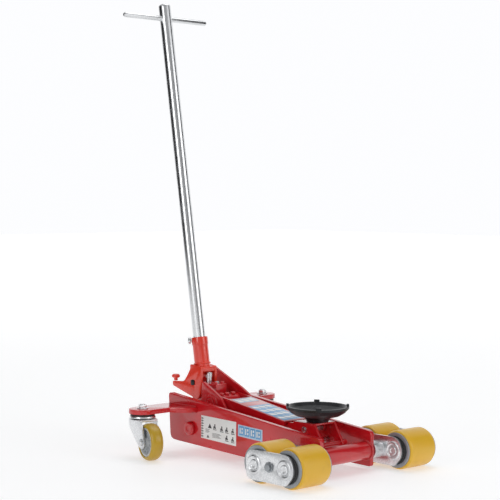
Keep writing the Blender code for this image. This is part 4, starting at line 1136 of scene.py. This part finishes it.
FORK_TOP_Z = 0.0860
FORK_THICK = 0.004
LEG_INNER = 0.0170
LEG_THICK = 0.004
LEG_OUTER = LEG_INNER + LEG_THICK
TRAIL = 0.041
WHEEL_R = 0.040
NUT_TURN = (0, 0, 0.4)
RACE_BORE = 0.0063
for word, side in SIDES:
    x, y = CASTER[0], side * CASTER[1]
    turn = math.radians(15) * side
    forward = Vector((math.cos(turn), math.sin(turn), 0))
    sideways = Vector((-forward.y, forward.x, 0))
    hub_place = Vector((x, y, WHEEL_R)) + TRAIL * forward
    across_wheel = (math.pi / 2, 0, turn)
    nut_z = OUTRIGGER_TOP_Z + GAP
    kingpin = joined(
        f"kingpin_{word}",
        turned(f"pin_{word}", [
            (0, 0.084), (0.006, 0.084), (0.006, nut_z), (0.0125, nut_z), (0.0125, nut_z + 0.0015),
            (0.0062, nut_z + 0.0017), (0.0060, nut_z + 0.0092), (0.0052, nut_z + 0.010), (0, nut_z + 0.010),
        ], (x, y, 0), steps=64, edge=0.0003),
        slab(f"nut_{word}", hexagon(0.0168), 0.0064, (x, y, nut_z + 0.0050), NUT_TURN, edge=0.0008),
    )
    fit(kingpin, ZINC, "frame", "zinc", f"caster_kingpin_{word}")
    race = turned(f"race_{word}", [
        (RACE_BORE, 0.0926), (0.0268, 0.0926), (0.0262, 0.0967), (RACE_BORE, 0.0967),
    ], (x, y, 0), edge=0.0008)
    fit(race, SEAL.made, "frame", "seal", f"caster_race_{word}")
    cup = turned(f"race_cup_{word}", [
        (RACE_BORE, 0.0864), (0.024, 0.0864), (0.0285, 0.0880), (0.0285, 0.0898), (0.0275, 0.0924),
        (RACE_BORE, 0.0924),
    ], (x, y, 0), edge=0.0008)
    fit(cup, ZINC, "frame", "zinc")
    fork_pieces = [slab(f"fork_crown_{word}", [
        *arc(0, 0, 0.030, 60, 300, 40), (0.0330, -LEG_OUTER), (0.0330, LEG_OUTER),
    ], FORK_THICK, (x, y, FORK_TOP_Z - FORK_THICK / 2), (0, 0, turn), [ring(0, 0, 0.0066)], 0.0012)]
    leg_outline = rounded([
        (-0.026, FORK_TOP_Z - 0.001, 0), (-0.024, 0.066, 0.010), (TRAIL - 0.018, 0.030, 0.008),
        (TRAIL + 0.002, 0.024, 0.010), (TRAIL + 0.014, 0.034, 0.010), (TRAIL + 0.004, 0.060, 0.010),
        (0.0328, FORK_TOP_Z - 0.001, 0.004),
    ])
    for face in (-1, 1):
        leg_place = Vector((x, y, 0)) + face * (LEG_INNER + LEG_THICK / 2) * sideways
        fork_pieces.append(slab(
            f"fork_leg_{word}_{face}", leg_outline, LEG_THICK, leg_place, across_wheel, edge=0.0012,
        ))
        end = hub_place + face * (LEG_OUTER + 0.0022) * sideways
        fork_pieces.append(slab(
            f"axle_nut_{word}_{face}", hexagon(0.0130), 0.0044, end, across_wheel, edge=0.0006,
        ))
    reach = LEG_OUTER + 0.005
    fork_pieces.append(turned(
        f"caster_axle_{word}", both_ends((0, -reach), (0.0042, -reach), (0.005, 0.0008 - reach)),
        hub_place, across_wheel, steps=48, edge=0.0003,
    ))
    fit(joined(f"fork_{word}", *fork_pieces), ZINC, f"caster_{word}", "zinc", f"caster_fork_{word}")
    rim_pieces = [turned(f"rim_disc_{word}", both_ends(
        (0.0056, -0.0155), (0.010, -0.0155), (0.011, -0.006), (0.024, -0.005), (0.027, -0.0125),
        (0.0310, -0.0125),
    ), hub_place, across_wheel, edge=0.0006)]
    for face in (-1, 1):
        rim_pieces.append(ribs(f"rim_ribs_{word}_{face}", hub_place, across_wheel, face * 0.0072))
    wheel_body = f"caster_wheel_{word}"
    fit(joined(f"rim_{word}", *rim_pieces), RIM.made, wheel_body, "core_iron", f"caster_rim_{word}")
    tyre = turned(f"tyre_{word}", both_ends(
        (0.0313, -0.014), (0.0355, -0.014), (0.0385, -0.0105), (WHEEL_R, -0.0055),
    ), hub_place, across_wheel, steps=128, edge=0.0014)
    fit(tyre, OCHRE, wheel_body, "tread", f"caster_tyre_{word}")

# ---- Labels -------------------------------------------------------------------------------------
# Printed vinyl, laid on the right side plate and on the top of the lift arm. The white one carries
# warning signs and the blue ones plain blocks; none of it is lettering.


def vinyl(name, colour, dark):
    made = Finish(name, colour, 0.3, coat=0.25, coat_roughness=0.12)
    handled = made.ramp(made.noise(55.0, 5.0), 0.50, 0.85)
    made.tint(handled * 0.22, dark)
    made.set("Roughness", 0.28 + handled * 0.22)
    made.bump(made.noise(260.0, 2.0), 0.04, 0.0003)
    return made.made


WHITE = vinyl("white_vinyl", (0.80, 0.81, 0.80), (0.50, 0.49, 0.46))
PALE = vinyl("pale_vinyl", (0.42, 0.58, 0.74), (0.28, 0.36, 0.46))
BLUE = vinyl("blue_vinyl", (0.10, 0.33, 0.62), (0.05, 0.18, 0.36))
INK = vinyl("ink", (0.018, 0.020, 0.026), (0.06, 0.06, 0.06))


def printed(name, outlines, lift, material, place, turn, body):
    """Flat shapes of vinyl or ink, so high above the surface that the label is laid on."""
    raised = Vector(place) + Euler(turn).to_matrix() @ Vector((0, 0, lift + FILM / 2))
    shapes = [
        slab(f"{name}_{i}", outline, FILM, raised, turn, edge=0.00002) for i, outline in enumerate(outlines)
    ]
    fit(joined(name, *shapes), material, body, "red_enamel")


FILM = 0.00010
VINYL_LIFT = 0.00002
INK_LIFT = 0.00013
TOP_LIFT = 0.00024
SIDE_FACE = (0, -PLATE_OUTER_Y, 0)
sign = [(-0.344, 0.0420), (-0.233, 0.0370), (-0.233, 0.0890), (-0.344, 0.0915)]
printed("side_label", [sign], VINYL_LIFT, WHITE, SIDE_FACE, UPRIGHT, "frame")
marks = []
for i in range(8):
    low = 0.0445 + i * 0.0056
    marks.append(rectangle(-0.3430, low, -0.3390, low + 0.0036))
    marks.append(rectangle(-0.3378, low + 0.0008, -0.3362, low + 0.0028))
for x, z, size in ((-0.316, 0.0660, 0.0062), (-0.322, 0.0445, 0.0042)):
    marks.append([(x - size, z), (x + size, z), (x, z + 1.7 * size)])
for x, z in (
    (-0.3000, 0.0640), (-0.2780, 0.0620), (-0.2620, 0.0615), (-0.2620, 0.0440), (-0.2430, 0.0610),
    (-0.2430, 0.0430),
):
    marks.append(ring(x, z + 0.0105, 0.0019, 16))
    marks.append([
        (x - 0.0030, z + 0.0080), (x + 0.0010, z + 0.0086), (x + 0.0040, z + 0.0030),
        (x - 0.0014, z + 0.0022),
    ])
    marks.append(rectangle(x - 0.0052, z - 0.0004, x + 0.0056, z + 0.0010))
    marks.append([
        (x - 0.0052, z + 0.0016), (x - 0.0034, z + 0.0016), (x - 0.0026, z + 0.0070),
        (x - 0.0044, z + 0.0074),
    ])
for i in range(4):
    z = 0.0560 + i * 0.0022
    marks.append(rectangle(-0.3300, z, -0.3200 + 0.003 * (i % 2), z + 0.0008))
for i in range(5):
    z = 0.0470 + i * 0.0021
    marks.append(rectangle(-0.3080, z, -0.2800 - 0.004 * (i % 3), z + 0.0007))
printed("side_label_ink", marks, INK_LIFT, INK, SIDE_FACE, UPRIGHT, "frame")

badge = rounded([
    (-0.2275, 0.0600, 0.001), (-0.1530, 0.0565, 0.001), (-0.1530, 0.0815, 0.001), (-0.2275, 0.0850, 0.001),
])
printed("side_badge", [badge], VINYL_LIFT, PALE, SIDE_FACE, UPRIGHT, "frame")
badge_blocks = []
badge_cuts = []
for i in range(4):
    x = -0.2245 + i * 0.0172
    drop = 0.0008 * i
    badge_blocks.append(rectangle(x, 0.0628 - drop, x + 0.0150, 0.0820 - drop))
    badge_cuts.append(rectangle(x + 0.0024, 0.0660 - drop, x + 0.0056, 0.0788 - drop))
    badge_cuts.append(rectangle(x + 0.0084, 0.0660 - drop, x + 0.0120, 0.0710 - drop))
    badge_cuts.append(rectangle(x + 0.0084, 0.0738 - drop, x + 0.0120, 0.0788 - drop))
printed("side_badge_blocks", badge_blocks, INK_LIFT, BLUE, SIDE_FACE, UPRIGHT, "frame")
printed("side_badge_cuts", badge_cuts, TOP_LIFT, WHITE, SIDE_FACE, UPRIGHT, "frame")

ARM_FACE = (ARM_NOSE[0], 0, ARM_NOSE[1])
ARM_TURN = (0, -math.atan(ARM_SLOPE), 0)
front_label = rounded([(x, y, 0.002) for x, y in rectangle(-0.118, -0.031, -0.006, 0.031)])
printed("arm_label", [front_label], VINYL_LIFT, BLUE, ARM_FACE, ARM_TURN, "lift_arm")
rear_label = rounded([(x, y, 0.002) for x, y in rectangle(-0.173, -0.029, -0.144, 0.029)])
printed("arm_strip", [rear_label], VINYL_LIFT, PALE, ARM_FACE, ARM_TURN, "lift_arm")
strip_marks = [rectangle(-0.169, y, -0.148, y + 0.014) for y in (-0.026, -0.0078, 0.0104)]
label_marks = []
for row in range(4):
    for column in range(3):
        x = -0.113 + row * 0.0265
        y = -0.0275 + column * 0.0190
        label_marks.append([(x, y), (x + 0.0130, y), (x + 0.0190, y + 0.0150), (x + 0.0060, y + 0.0150)])
printed("arm_marks", [*strip_marks, *label_marks], INK_LIFT, WHITE, ARM_FACE, ARM_TURN, "lift_arm")
